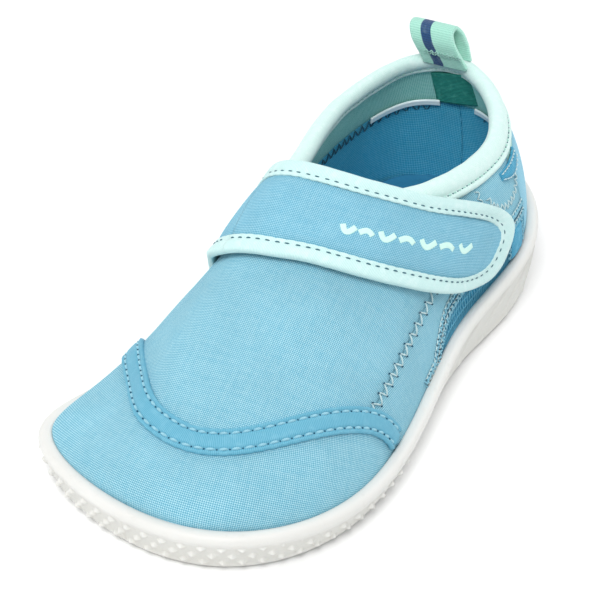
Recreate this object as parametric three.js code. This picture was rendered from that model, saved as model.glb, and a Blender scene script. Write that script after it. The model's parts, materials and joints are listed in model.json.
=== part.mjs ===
// Child's low-cut aqua shoe, left foot, with a hook-and-loop strap over the instep.
// Millimetres. +Z up, toe towards -Y, heel towards +Y, lateral (outer) side towards +X.
import * as THREE from 'three';

// ---------------------------------------------------------------- driving sizes
const TOE = 7; // the outline is counted 0 at the heel, 7 at the toe, 14 back at the heel
const OUTLINE = [ // outer edge of the sole lip: heel, medial side, toe, lateral side
  [3, 86], [-16.5, 80.5], [-26, 58], [-27, 22], [-29, -14], [-35, -46], [-38, -71.5],
  [-6, -86.5], [25, -79.5], [41, -52], [39.5, -15], [36.8, 16], [38, 50], [23, 79.5],
];
const LIP_HEIGHT = [19.5, 19.5, 19, 17.5, 14, 12, 12, 12.5, 11.5, 9.5, 9.5, 15.5, 19, 19.5];
const CREST_X = [4, 4, 3.5, 1, -2, -3.5, -5]; // ridge of the last, heel to toe
const CREST_Y = [50, 48, 42, 22, -13, -46, -74];
const CREST_Z = [77, 76.5, 75, 70, 48.5, 36, 21];
const FULLNESS = 0.95; // 1 is an elliptical rib, less is squarer
const BIG_TOE_FULLNESS = 1.35; // the medial side of the toe box slopes more gently
const HOLLOW = 3.4; // flattening of the medial shoulder
const LEAN = 6; // inward lean of the lateral heel wall at the collar
const LIP = 3.4; // the upper springs this far inside the lip
const FLOOR_TOE = 5;
const FLOOR_HEEL = 8;
const TUCK = 0.15; // parameter length of the part of the upper hidden in the sole cup
const GAP = 0.3; // between neighbouring pieces
const UPPER = 1.3; // outer fabric
const LINING = 0.8;
const TAPE = 0.6;
const BINDING = 0.8;
const COLLAR_WIDTH = 5.6;
const STRAP_LIFT = 2.1; // underside of the strap above the upper
const STRAP_THICK = 1.4;
const STRAP_EDGE = 4.2; // visible width of the folded binding
const TIP_SHARE = 0.3; // the strap is this share as wide as it is long round its tip
const TIP_POWER = 3.3; // 2 is an elliptical strap end, more is squarer
const NUB = 0.9;
const LOOP_WIDTH = 13;
const LOOP_THICK = 1.4;
const LOOP_HEIGHT = 9.6; // above the rim of the mouth
const LOOP_FOOT = 2.6; // the ends of the loop stand just clear of the collar
const LOOP_TILT = 0.45; // the loop leans to the medial side as it rises

// mouth of the shoe on the last: (station, angle / pi), medial heel round the throat to lateral heel
const MOUTH = [
  [-1, 0.18], [0, 0.195], [1, 0.18], [2, 0.16], [2.9, 0.205], [3.6, 0.33], [4.05, 0.5],
  [3.6, 0.66], [2.9, 0.795], [2, 0.85], [1, 0.82], [0, 0.805], [-1, 0.82],
];
const TOE_SEAM = [4.7, 4.85, 5.1, 5.42, 5.72, 5.88, 5.86, 5.62, 5.08, 4.66, 4.48];
const STRAP_REAR = [
  [3.3, 0.02], [3.42, 0.18], [3.5, 0.3], [3.66, 0.43], [3.6, 0.575], [3.475, 0.657],
  [3.2, 0.765], [2.67, 0.86], [2.15, 0.94],
];
const STRAP_FRONT = [
  [3.8, 0.02], [4.0, 0.16], [4.38, 0.34], [4.39, 0.48], [4.27, 0.577], [4.16, 0.675],
  [3.9, 0.79], [3.42, 0.915], [2.6, 1.0],
];
const SPLIT = 3.25; // station where the vamp meets the quarters
const ZIGZAG = 0.885; // angle / pi of the lateral vamp seam
const COUNTER_END = 1.9; // station of the side seams of the heel counter
const PI = Math.PI;

const SKY = 0x7cc3dc;
const SKY_SMOOTH = 0x86c3d8;
const TAPE_BLUE = 0x4fb3d4;
const MINT = 0xcdf1e6;
const MINT_LINING = 0x63b9a4;
const DEEP = 0x1c6f92;
const GREEN = 0x2c8c78;
const WHITE = 0xf0f0ec;
const FOAM = 0x2a86a8;
const HOOK = 0xd6e6e6;
const GLOSS = 0xd8eef2;

// ---------------------------------------------------------------- curves
function basis(f) {
  return [(1 - f) ** 3 / 6, (3 * f ** 3 - 6 * f ** 2 + 4) / 6,
    (-3 * f ** 3 + 3 * f ** 2 + 3 * f + 1) / 6, f ** 3 / 6];
}

function closedSpline(values, t) {
  const n = values.length;
  const i = Math.floor(t);
  return basis(t - i).reduce((sum, w, k) => sum + w * values[(((i + k - 1) % n) + n) % n], 0);
}

function openSpline(values, t) {
  const i = Math.min(Math.max(Math.floor(t), 0), values.length - 4);
  return basis(t - i).reduce((sum, w, k) => sum + w * values[i + k], 0);
}

function controlsThrough(points) {
  const n = points.length;
  let controls = points.slice();
  for (let pass = 0; pass < 60; pass++) {
    controls = controls.map((c, i) => {
      const value = (controls[(i + n - 1) % n] + 4 * c + controls[(i + 1) % n]) / 6;
      return c + points[i] - value;
    });
  }
  return controls;
}

function smooth(x, a, b) {
  const f = Math.min(Math.max((x - a) / (b - a), 0), 1);
  return f * f * (3 - 2 * f);
}

function mix(a, b, f) {
  return a + (b - a) * f;
}

const outlineX = controlsThrough(OUTLINE.map((p) => p[0]));
const outlineY = controlsThrough(OUTLINE.map((p) => p[1]));

function edge(t, inset) {
  const h = 0.02;
  const dx = closedSpline(outlineX, t + h) - closedSpline(outlineX, t - h);
  const dy = closedSpline(outlineY, t + h) - closedSpline(outlineY, t - h);
  const l = Math.hypot(dx, dy);
  const x = closedSpline(outlineX, t) - (dy / l) * inset;
  const y = closedSpline(outlineY, t) + (dx / l) * inset;
  return new THREE.Vector3(x, y, closedSpline(LIP_HEIGHT, t));
}

const toeBase = edge(TOE, LIP);
const padded = (v, end, beyond) => [v[1], ...v, end, beyond];
const crestX = padded(CREST_X, (6 * toeBase.x - 2 * CREST_X[6]) / 4, CREST_X[6]);
const crestY = padded(CREST_Y, (6 * toeBase.y - 2 * CREST_Y[6]) / 4, CREST_Y[6]);
const crestZ = padded(CREST_Z, toeBase.z, 2 * toeBase.z - CREST_Z[6]);

function floorHeight(k) {
  return mix(FLOOR_HEEL, FLOOR_TOE, smooth(k, 1.5, 4.5));
}

// ---------------------------------------------------------------- the last
// station k runs heel 0 to toe 7; angle a runs 0 at the medial lip over the ridge to pi
function last(k, a) {
  const angle = Math.min(Math.max(a, 0), PI);
  const M = edge(k, LIP);
  const L = edge(-k, LIP);
  const C = new THREE.Vector3(openSpline(crestX, k), openSpline(crestY, k), openSpline(crestZ, k));
  const cos = Math.cos(angle);
  const bigToe = smooth(k, 4.3, 6.2) * smooth(cos, 0, 0.75);
  const fullness = mix(FULLNESS, BIG_TOE_FULLNESS, bigToe);
  const c = Math.abs(cos) ** fullness;
  const s = Math.sin(angle) ** fullness;
  const side = cos >= 0 ? M : L;
  const fan = new THREE.Vector3(mix(C.x, side.x, c), mix(C.y, side.y, c), mix(side.z, C.z, s));
  const mid = M.clone().add(L).multiplyScalar(0.5);
  const arch = mid.clone().addScaledVector(side.clone().sub(mid), c);
  arch.addScaledVector(C.clone().sub(mid), s);
  fan.lerp(arch, smooth(k, 2.4, 4.2));
  const shoulder = smooth(k, 2.2, 3.4) * (1 - smooth(k, 5.2, 6.7)) * Math.sin(2 * angle) ** 2;
  if (cos > 0) {
    fan.x += HOLLOW * shoulder;
    fan.z -= HOLLOW * shoulder;
  }
  const signed = cos >= 0 ? k : -k;
  const lean = smooth(-signed, -0.9, 0.9) * (1 - smooth(k, 2, 3.3));
  fan.x -= LEAN * lean * Math.min(s / 0.53, 1.3) ** 2;
  const below = a < 0 ? -a / TUCK : Math.max(a - PI, 0) / TUCK;
  fan.z = mix(fan.z, floorHeight(k) + 2 * GAP, below);
  return fan;
}

function lastNormal(k, a) {
  const h = 0.004;
  const hi = Math.min(k + h, TOE - 0.0005);
  const lo = Math.max(k - h, 0);
  const flat = Math.min(Math.max(a, 0.0), PI);
  const u = last(hi, flat).sub(last(lo, flat));
  const v = last(k, Math.min(flat + h, PI)).sub(last(k, Math.max(flat - h, 0)));
  return u.cross(v).normalize();
}

// signed station t goes round the heel: positive on the medial side, negative on the lateral side
function place(t, a, off) {
  const k = Math.abs(t);
  const angle = t < 0 ? PI - a : a;
  return last(k, angle).addScaledVector(lastNormal(k, angle), off);
}

const mouthK = MOUTH.map((p) => p[0]);
const mouthA = MOUTH.map((p) => p[1] * PI);
const MOUTH_SPANS = MOUTH.length - 3;
const mouthAt = (s) => [openSpline(mouthK, s), openSpline(mouthA, s)];

function mouthAngle(t) {
  const k = Math.abs(t);
  let lo = 0;
  let hi = MOUTH_SPANS / 2;
  const medial = t >= 0;
  for (let i = 0; i < 40; i++) {
    const m = (lo + hi) / 2;
    const at = mouthAt(medial ? m : MOUTH_SPANS - m);
    if (at[0] < k) lo = m;
    else hi = m;
  }
  const a = mouthAt(medial ? lo : MOUTH_SPANS - lo)[1];
  return medial ? a : PI - a;
}

function throatStation(a) {
  let lo = 2.5;
  let hi = MOUTH_SPANS - 2.5;
  for (let i = 0; i < 40; i++) {
    const m = (lo + hi) / 2;
    if (mouthAt(m)[1] < a) lo = m;
    else hi = m;
  }
  return mouthAt(lo)[0];
}

function toeSeam(a) {
  const f = Math.min(Math.max(a / PI, 0), 1) * (TOE_SEAM.length - 1);
  const i = Math.min(Math.floor(f), TOE_SEAM.length - 2);
  const at = (j) => TOE_SEAM[Math.min(Math.max(j, 0), TOE_SEAM.length - 1)];
  const w = basis(f - i);
  return w[0] * at(i - 1) + w[1] * at(i) + w[2] * at(i + 1) + w[3] * at(i + 2);
}

// ---------------------------------------------------------------- solids
const shoe = new THREE.Group();
shoe.name = 'aqua_shoe_left';

function addMesh(name, points, faces, color, roughness, metalness = 0) {
  const geometry = new THREE.BufferGeometry();
  const flat = points.flatMap((p) => [p.x, p.y, p.z]);
  geometry.setAttribute('position', new THREE.Float32BufferAttribute(flat, 3));
  let volume = 0;
  for (const [a, b, c] of faces) {
    volume += points[a].dot(points[b].clone().cross(points[c]));
  }
  const turned = volume < 0 ? faces.map(([a, b, c]) => [a, c, b]) : faces;
  geometry.setIndex(turned.flat());
  geometry.computeVertexNormals();
  const material = new THREE.MeshStandardMaterial({ color, roughness, metalness });
  const mesh = new THREE.Mesh(geometry, material);
  mesh.name = name;
  shoe.add(mesh);
}

function quad(faces, a, b, c, d) {
  faces.push([a, b, c], [a, c, d]);
}

// a sheet of fabric between two offsets of the last; at(u, v) gives [t, a]
function panel(name, nu, nv, at, low, high, color, roughness, trim = GAP / 2) {
  const points = [];
  const faces = [];
  for (const off of [high, low]) {
    const grid = [];
    for (let i = 0; i <= nu; i++) {
      for (let j = 0; j <= nv; j++) {
        const [t, a] = at(i / nu, j / nv);
        grid.push(place(t, a, off));
      }
    }
    const id = (i, j) => i * (nv + 1) + j;
    const moved = grid.map((p) => p.clone());
    const pull = (p, from, to) => {
      const d = grid[to].clone().sub(grid[from]);
      p.addScaledVector(d.normalize(), trim);
    };
    for (let i = 0; i <= nu; i++) {
      pull(moved[id(i, 0)], id(i, 0), id(i, 1));
      pull(moved[id(i, nv)], id(i, nv), id(i, nv - 1));
    }
    for (let j = 0; j <= nv; j++) {
      pull(moved[id(0, j)], id(0, j), id(1, j));
      pull(moved[id(nu, j)], id(nu, j), id(nu - 1, j));
    }
    points.push(...moved);
  }
  const n = (nu + 1) * (nv + 1);
  const id = (i, j) => i * (nv + 1) + j;
  for (let i = 0; i < nu; i++) {
    for (let j = 0; j < nv; j++) {
      quad(faces, id(i, j), id(i + 1, j), id(i + 1, j + 1), id(i, j + 1));
      quad(faces, n + id(i, j), n + id(i, j + 1), n + id(i + 1, j + 1), n + id(i + 1, j));
    }
  }
  for (let i = 0; i < nu; i++) {
    quad(faces, id(i, 0), n + id(i, 0), n + id(i + 1, 0), id(i + 1, 0));
    quad(faces, id(i + 1, nv), n + id(i + 1, nv), n + id(i, nv), id(i, nv));
  }
  for (let j = 0; j < nv; j++) {
    quad(faces, id(0, j + 1), n + id(0, j + 1), n + id(0, j), id(0, j));
    quad(faces, id(nu, j), n + id(nu, j), n + id(nu, j + 1), id(nu, j + 1));
  }
  addMesh(name, points, faces, color, roughness);
}

// a bar of constant section: sections is a list of rings of points, open ended unless closed
function bar(name, sections, closed, color, roughness) {
  const m = sections[0].length;
  const points = sections.flat();
  const faces = [];
  const spans = closed ? sections.length : sections.length - 1;
  for (let i = 0; i < spans; i++) {
    const a = i * m;
    const b = ((i + 1) % sections.length) * m;
    for (let j = 0; j < m; j++) {
      const k = (j + 1) % m;
      quad(faces, a + j, b + j, b + k, a + k);
    }
  }
  if (!closed) {
    const flat = capOrder(m);
    const end = (sections.length - 1) * m;
    for (const [p, q, r] of flat) {
      faces.push([p, q, r], [end + p, end + r, end + q]);
    }
  }
  addMesh(name, points, faces, color, roughness);
}

// a section listed down one face and back up the other is capped ladder-wise
function capOrder(m) {
  const out = [];
  for (let i = 0; i < m / 2 - 1; i++) {
    const a = i;
    const b = i + 1;
    const c = m - 2 - i;
    const d = m - 1 - i;
    if (b === c) out.push([a, b, d]);
    else out.push([a, b, c], [a, c, d]);
  }
  return out;
}

// ---------------------------------------------------------------- outsole
const AROUND = 144;
const BANDS = 9; // rows of the studded side wall

function soleStation(i) {
  return (i / AROUND) * 2 * TOE;
}

function wallBulge(i, row) {
  const t = soleStation(i);
  const nearToe = Math.abs(t - TOE) < 2.6;
  if (!nearToe) return 0;
  const stud = row % 3 === 2 && (i + (row % 2) * 2) % 4 === 0;
  return stud ? NUB : 0;
}

function outsole() {
  const rings = [];
  const add = (fn) => {
    const ringPoints = [];
    for (let i = 0; i < AROUND; i++) ringPoints.push(fn(i, soleStation(i)));
    rings.push(ringPoints);
  };
  const at = (t, inset, z) => {
    const p = edge(t, inset);
    p.z = z;
    return p;
  };
  const rim = (t) => edge(t, 0).z;
  add((i, t) => at(t, 5, 0));
  add((i, t) => at(t, 3.1, 0.5));
  for (let row = 0; row < BANDS; row++) {
    add((i, t) => {
      const f = row / (BANDS - 1);
      return at(t, mix(2.2, 0.9, f) - wallBulge(i, row), mix(1.6, rim(t) - 3.2, f));
    });
  }
  add((i, t) => at(t, 0.25, rim(t) - 2.5));
  add((i, t) => at(t, 0, rim(t) - 1.5));
  add((i, t) => at(t, 0.3, rim(t) - 0.5));
  add((i, t) => at(t, 1.2, rim(t)));
  add((i, t) => at(t, 2.4, rim(t) - 0.1));
  add((i, t) => at(t, LIP - 0.4, rim(t) - 0.8));
  const station = (t) => (t > TOE ? 2 * TOE - t : t);
  add((i, t) => at(t, LIP - 0.4, floorHeight(station(t))));
  const points = rings.flat();
  const faces = [];
  for (let r = 0; r < rings.length - 1; r++) {
    for (let i = 0; i < AROUND; i++) {
      const j = (i + 1) % AROUND;
      const a = r * AROUND;
      quad(faces, a + i, a + j, a + AROUND + j, a + AROUND + i);
    }
  }
  const cap = (base, turned, across, height) => {
    const half = AROUND / 2;
    const rows = [];
    for (let i = 1; i < half; i++) {
      const row = [base + i];
      for (let c = 1; c < across; c++) {
        const p = points[base + i].clone().lerp(points[base + AROUND - i], c / across);
        p.z = height(i, c / across, p);
        row.push(points.length);
        points.push(p);
      }
      row.push(base + AROUND - i);
      rows.push(row);
    }
    const tri = (a, b, c) => faces.push(turned ? [a, c, b] : [a, b, c]);
    for (let c = 0; c < across; c++) {
      tri(base, rows[0][c], rows[0][c + 1]);
      tri(base + half, rows[half - 2][c + 1], rows[half - 2][c]);
      for (let i = 0; i < half - 2; i++) {
        tri(rows[i][c], rows[i + 1][c], rows[i + 1][c + 1]);
        tri(rows[i][c], rows[i + 1][c + 1], rows[i][c + 1]);
      }
    }
  };
  const tread = (i, f) => {
    const k = soleStation(i);
    const grooved = k > 4.3 || k < 2.1;
    const inside = f > 0.1 && f < 0.9;
    return grooved && inside && i % 4 === 2 ? 1.2 : 0;
  };
  cap(0, true, 6, tread);
  cap((rings.length - 1) * AROUND, false, 2, (i) => floorHeight(soleStation(i)));
  addMesh('outsole', points, faces, WHITE, 0.55);
}
outsole();

// ---------------------------------------------------------------- boards inside the cup
function slab(name, inset, low, high, color, roughness) {
  const n = 64;
  const half = n / 2;
  const points = [];
  const faces = [];
  for (const lift of [high, low]) {
    for (let i = 0; i < n; i++) {
      const t = (i / n) * 2 * TOE;
      const k = t > TOE ? 2 * TOE - t : t;
      const p = edge(t, inset);
      p.z = floorHeight(k) + lift;
      points.push(p);
    }
  }
  for (let i = 0; i < n; i++) {
    const j = (i + 1) % n;
    quad(faces, i, n + i, n + j, j);
  }
  for (let i = 0; i < half; i++) {
    const a = i;
    const b = i + 1;
    const c = (n - i - 1) % n;
    const d = (n - i) % n;
    if (a === d) faces.push([a, b, c], [n + a, n + c, n + b]);
    else if (b === c) faces.push([a, b, d], [n + a, n + d, n + b]);
    else {
      quad(faces, a, b, c, d);
      quad(faces, n + a, n + d, n + c, n + b);
    }
  }
  addMesh(name, points, faces, color, roughness);
}
const INNER = LIP + UPPER + LINING + 2 * GAP;
slab('strobel_board', INNER + 0.4, 0.4, 1.2, 0xe4e6e0, 0.9);
slab('footbed', INNER + 0.8, 1.5, 3.7, FOAM, 0.9);

// ---------------------------------------------------------------- outer panels of the upper
const outer = (name, nu, nv, at, color, roughness) => {
  panel(name, nu, nv, at, -UPPER, 0, color, roughness);
};
const wholeRib = (v) => {
  // the two hidden strips below the lip take the first and last steps of the rib
  const end = 0.05;
  if (v < end) return mix(-TUCK, 0, v / end);
  if (v > 1 - end) return mix(PI, PI + TUCK, (v - 1 + end) / end);
  return mix(0, PI, (v - end) / (1 - 2 * end));
};
outer('toe_panel', 9, 20, (u, v) => {
  const a = wholeRib(v);
  return [mix(toeSeam(a) + 0.015, TOE - 0.02, 1 - (1 - u) ** 1.15), a];
}, SKY, 0.85);

const throatLow = mouthAngle(SPLIT);
const throatHigh = PI - mouthAngle(-SPLIT);
const vampStart = (a) => (a > throatLow && a < throatHigh ? Math.max(throatStation(a), SPLIT) : SPLIT);
const vampRows = [-TUCK, 0];
for (let i = 1; i <= 4; i++) vampRows.push(mix(0, throatLow, i / 4));
for (let i = 1; i <= 12; i++) vampRows.push(mix(throatLow, throatHigh, i / 12));
for (let i = 1; i <= 3; i++) vampRows.push(mix(throatHigh, ZIGZAG * PI, i / 3));
outer('vamp_panel', 12, vampRows.length - 1, (u, v) => {
  const a = vampRows[Math.round(v * (vampRows.length - 1))];
  return [mix(vampStart(a), toeSeam(a), u), a];
}, SKY, 0.85);

// the drain strip is a lens along the lateral lip; its upper edge dives into the cup at the front
const drainEdge = (k) => (0.945 + 0.004 * (k - 3) ** 2) * PI
  + (0.045 * PI + TUCK) * smooth(k, 3.3, 3.95);
outer('lateral_side_panel', 12, 6, (u, v) => {
  const low = ZIGZAG * PI;
  const end = v < 0.8 ? mix(low, PI, v / 0.8) : mix(PI, PI + TUCK, (v - 0.8) / 0.2);
  const k = mix(SPLIT, toeSeam(end), u);
  const top = Math.min(drainEdge(k), PI + TUCK);
  const full = v < 0.8 ? mix(low, PI, v / 0.8) : mix(PI, PI + TUCK, (v - 0.8) / 0.2);
  const a = top > PI + TUCK - 1e-6 ? full : mix(low, top, v);
  return [k, a];
}, SKY, 0.85);
outer('drain_mesh', 12, 4, (u, v) => {
  const k = mix(COUNTER_END, 3.88, u);
  const top = Math.min(drainEdge(k), PI + TUCK - 0.02);
  return [k, mix(top, PI + TUCK, v)];
}, TAPE_BLUE, 0.8);

const sideRib = (v, top) => (v < 0.15 ? mix(-TUCK, 0, v / 0.15) : mix(0, top, (v - 0.15) / 0.85));
outer('medial_quarter', 8, 9, (u, v) => {
  const k = mix(COUNTER_END, SPLIT, u);
  return [k, sideRib(v, mouthAngle(k))];
}, SKY, 0.85);
outer('lateral_quarter', 10, 8, (u, v) => {
  const t = mix(-SPLIT, -COUNTER_END, u);
  return [t, mix(PI - drainEdge(-t), mouthAngle(t), v)];
}, SKY, 0.85);
const counterTop = (t) => mouthAngle(t) * (0.66 - 0.06 * Math.cos((t / COUNTER_END) * PI));
outer('heel_counter', 22, 6, (u, v) => {
  const t = mix(-COUNTER_END, COUNTER_END, u);
  return [t, v < 0.2 ? mix(-TUCK, 0, v / 0.2) : mix(0, counterTop(t), (v - 0.2) / 0.8)];
}, SKY_SMOOTH, 0.5);
outer('heel_top_panel', 22, 4, (u, v) => {
  const t = mix(-COUNTER_END, COUNTER_END, u);
  return [t, mix(counterTop(t), mouthAngle(t), v)];
}, MINT, 0.8);

// ---------------------------------------------------------------- lining
const LIN_HIGH = -UPPER - GAP;
const LIN_LOW = LIN_HIGH - LINING;
const inner = (name, nu, nv, at, color, roughness) => {
  panel(name, nu, nv, at, LIN_LOW, LIN_HIGH, color, roughness);
};
inner('forefoot_lining', 14, vampRows.length + 2, (u, v) => {
  const n = vampRows.length + 2;
  const j = Math.round(v * n);
  const rest = [0.93 * PI, PI, PI + TUCK];
  const a = j < vampRows.length ? vampRows[j] : rest[j - vampRows.length];
  return [mix(vampStart(a), TOE - 0.16, u), a];
}, DEEP, 0.9);
const liningTop = (t) => mouthAngle(t) * 0.5;
for (const [name, sign] of [['medial_lining', 1], ['lateral_lining', -1]]) {
  inner(name, 12, 6, (u, v) => {
    const t = sign * mix(0.0, SPLIT, u);
    const a = v < 0.2 ? mix(-TUCK, 0, v / 0.2) : mix(0, liningTop(t), (v - 0.2) / 0.8);
    return [t === 0 ? sign * 1e-6 : t, a];
  }, DEEP, 0.9);
}
inner('collar_lining', 28, 4, (u, v) => {
  const t = mix(-SPLIT, SPLIT, u);
  return [t, mix(liningTop(t), mouthAngle(t), v)];
}, MINT_LINING, 0.85);
const TAPE_HIGH = LIN_LOW - GAP;
panel('heel_inner_tape', 3, 8, (u, v) => {
  const t = mix(-0.24, 0.24, u);
  return [t, mix(liningTop(t) + 0.02, mouthAngle(t) - 0.08, v)];
}, TAPE_HIGH - TAPE, TAPE_HIGH, GREEN, 0.8);
for (const [name, sign] of [['medial_seam_tape', 1], ['lateral_seam_tape', -1]]) {
  panel(name, 14, 2, (u, v) => {
    const t = sign * mix(0.34, 1.75, u);
    return [t, liningTop(t) + mix(-0.03, 0.035, v)];
  }, TAPE_HIGH - 0.4, TAPE_HIGH, GLOSS, 0.25);
}

// ---------------------------------------------------------------- tapes on the outside
// step across a curve drawn on the last: w millimetres to the side, staying on the surface
function beside(k, a, dk, da, w) {
  const h = 0.01;
  const U = last(k + h, a).sub(last(k - h, a)).multiplyScalar(0.5 / h);
  const V = last(k, a + h).sub(last(k, a - h)).multiplyScalar(0.5 / h);
  const T = U.clone().multiplyScalar(dk).addScaledVector(V, da).normalize();
  const B = T.clone().cross(U.clone().cross(V).normalize());
  const uu = U.dot(U);
  const uv = U.dot(V);
  const vv = V.dot(V);
  const det = uu * vv - uv * uv;
  const x = (B.dot(U) * vv - B.dot(V) * uv) / det;
  const y = (B.dot(V) * uu - B.dot(U) * uv) / det;
  return [k + x * w, a + y * w];
}

function ribbon(name, n, curve, section, closed, color, roughness) {
  const sections = [];
  for (let i = 0; i <= (closed ? n - 1 : n); i++) {
    const f = i / n;
    const [k, a] = curve(f);
    const h = 1e-3;
    const [k1, a1] = curve(f + h);
    const [k0, a0] = curve(f - h);
    sections.push(section.map(([w, off]) => {
      const [kk, aa] = beside(k, a, (k1 - k0) / h, (a1 - a0) / h, w);
      return place(kk, aa, off);
    }));
  }
  bar(name, sections, closed, color, roughness);
}

ribbon('toe_seam_tape', 44, (f) => {
  const a = mix(0.02, 0.985, f) * PI;
  return [toeSeam(a), a];
}, [[-3.9, 0.3], [-3.9, 0.8], [-1.8, 1.0], [0.4, 1.0], [2.5, 0.8], [2.5, 0.3], [0.4, 0.3],
  [-1.8, 0.3]], false, TAPE_BLUE, 0.6);

panel('heel_patch', 6, 4, (u, v) => {
  const t = mix(-2.16, -1.72, u);
  const top = mouthAngle(t) - 0.125;
  return [t, mix(top - 0.035 - 0.03 * Math.sin(PI * u), top, v)];
}, GAP, GAP + TAPE, TAPE_BLUE, 0.7, 0);

panel('drain_tab', 3, 4, (u, v) => [mix(-2.3, -2.06, u), mix(0.015, 0.13, v)],
  GAP, GAP + TAPE, TAPE_BLUE, 0.7, 0);

// ---------------------------------------------------------------- padded collar binding
function mouthCurve(f) {
  const s = mix(0, MOUTH_SPANS, ((f % 1) + 1) % 1);
  return mouthAt(s);
}
function collar() {
  const n = 96;
  const up = GAP;
  const down = LIN_LOW - GAP;
  const out = up + BINDING;
  const inn = down - BINDING;
  const W = COLLAR_WIDTH;
  const mid = (out + inn) / 2;
  const section = [
    [-0.35, up], [2, up], [W, up], [W + 0.4, up + 0.4], [W - 0.6, out], [2.4, out + 0.1],
    [0, out], [-1, mix(mid, out, 0.6)], [-1.4, mid], [-1, mix(mid, inn, 0.6)], [0, inn],
    [1.6, inn - 0.1], [3, inn], [3.4, down - 0.4], [3.1, down], [1.6, down], [-0.35, down],
  ];
  const sections = [];
  for (let i = 0; i < n; i++) {
    const f = i / n;
    const s = f * MOUTH_SPANS;
    const [k, a] = mouthAt(s);
    const h = 0.02;
    const lo = mouthAt(s - h < 0 ? s : s - h);
    const hi = mouthAt(s + h);
    sections.push(section.map(([w, off]) => {
      const [kk, aa] = beside(Math.max(k, 1e-4), a, hi[0] - lo[0], hi[1] - lo[1], w);
      const angle = aa;
      return place(Math.abs(kk), angle, off);
    }));
  }
  bar('collar_binding', sections, true, MINT, 0.8);
}
collar();

// ---------------------------------------------------------------- strap
function strapEdge(points, s) {
  const n = points.length - 1;
  const f = Math.min(Math.max(s, 0), 1) * n;
  const i = Math.min(Math.floor(f), n - 1);
  const at = (j) => points[Math.min(Math.max(j, 0), n)];
  const w = basis(f - i);
  return [0, 1].map((c) => w[0] * at(i - 1)[c] + w[1] * at(i)[c] + w[2] * at(i + 1)[c]
    + w[3] * at(i + 2)[c]);
}
// s runs medial anchor 0 to tip 1; v runs front edge 0 to rear edge 1
function strapAt(s, v) {
  const round = Math.max((s - 0.86) / 0.14, 0);
  const half = 0.5 * Math.max(1 - Math.min(round, 1) ** 3.2, 0) ** (1 / 3.2);
  const vv = 0.5 + (v - 0.5) * 2 * half;
  const lo = strapEdge(STRAP_FRONT, s);
  const hi = strapEdge(STRAP_REAR, s);
  return [mix(lo[0], hi[0], vv), mix(lo[1], hi[1], vv) * PI];
}
const HINGE_A = 0.12;
const HINGE_B = 0.5;
const HALF_GAP = 0.0016;
const bindShare = STRAP_EDGE / 27;
const CORE_LOW = STRAP_LIFT;
const CORE_HIGH = STRAP_LIFT + STRAP_THICK;

function strapCore(name, s0, s1, steps) {
  panel(name, steps, 8, (u, v) => strapAt(mix(s0, s1, u), mix(bindShare, 1 - bindShare, v)),
    CORE_LOW, CORE_HIGH, SKY, 0.85);
}
function strapRail(name, s0, s1, steps, rear) {
  const sections = [];
  for (let i = 0; i <= steps; i++) {
    const s = mix(s0, s1, i / steps);
    const across = [0, 0.35, 0.7, 0.985];
    const top = [CORE_HIGH - 0.1, CORE_HIGH + 0.35, CORE_HIGH + 0.35, CORE_HIGH + 0.1];
    const ring = [];
    across.forEach((f, j) => ring.push([f, top[j]]));
    across.slice().reverse().forEach((f) => ring.push([f, f === 0 ? CORE_LOW + 0.3 : CORE_LOW - 0.1]));
    sections.push(ring.map(([f, off]) => {
      const v = f * (bindShare - 0.006);
      const [k, a] = strapAt(s, rear ? 1 - v : v);
      return place(k, a, off);
    }));
  }
  bar(name, sections, false, MINT, 0.75);
}
strapCore('strap_anchor', 0, HINGE_A - HALF_GAP, 3);
strapRail('strap_anchor_bind_front', 0, HINGE_A - HALF_GAP, 3, false);
strapRail('strap_anchor_bind_rear', 0, HINGE_A - HALF_GAP, 3, true);
strapCore('strap_mid', HINGE_A + HALF_GAP, HINGE_B - HALF_GAP, 9);
strapRail('strap_mid_bind_front', HINGE_A + HALF_GAP, HINGE_B - HALF_GAP, 9, false);
strapRail('strap_mid_bind_rear', HINGE_A + HALF_GAP, HINGE_B - HALF_GAP, 9, true);

// the tip is one core with its binding running round the end
function tipSection(q, across, off) {
  // q 0 at the front edge by the hinge, 1 at the rear edge by the hinge
  const s0 = HINGE_B + HALF_GAP;
  const inset = across * (bindShare - 0.006);
  const sTip = 1 - inset * TIP_SHARE;
  const v0 = inset;
  const straight = 0.36;
  const sTurn = 0.85;
  if (q < straight || q > 1 - straight) {
    const f = q < straight ? q / straight : (1 - q) / straight;
    const [k, a] = strapPlain(mix(s0, sTurn, f), q < 0.5 ? v0 : 1 - v0);
    return place(k, a, off);
  }
  const theta = ((q - straight) / (1 - 2 * straight)) * PI;
  const e = 2 / TIP_POWER;
  const c = Math.cos(theta);
  const x = Math.sign(c) * Math.abs(c) ** e;
  const y = Math.sin(theta) ** e;
  const [k, a] = strapPlain(mix(sTurn, sTip, y), 0.5 - (0.5 - v0) * x);
  return place(k, a, off);
}
function strapPlain(s, v) {
  const lo = strapEdge(STRAP_FRONT, s);
  const hi = strapEdge(STRAP_REAR, s);
  return [mix(lo[0], hi[0], v), mix(lo[1], hi[1], v) * PI];
}
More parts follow.
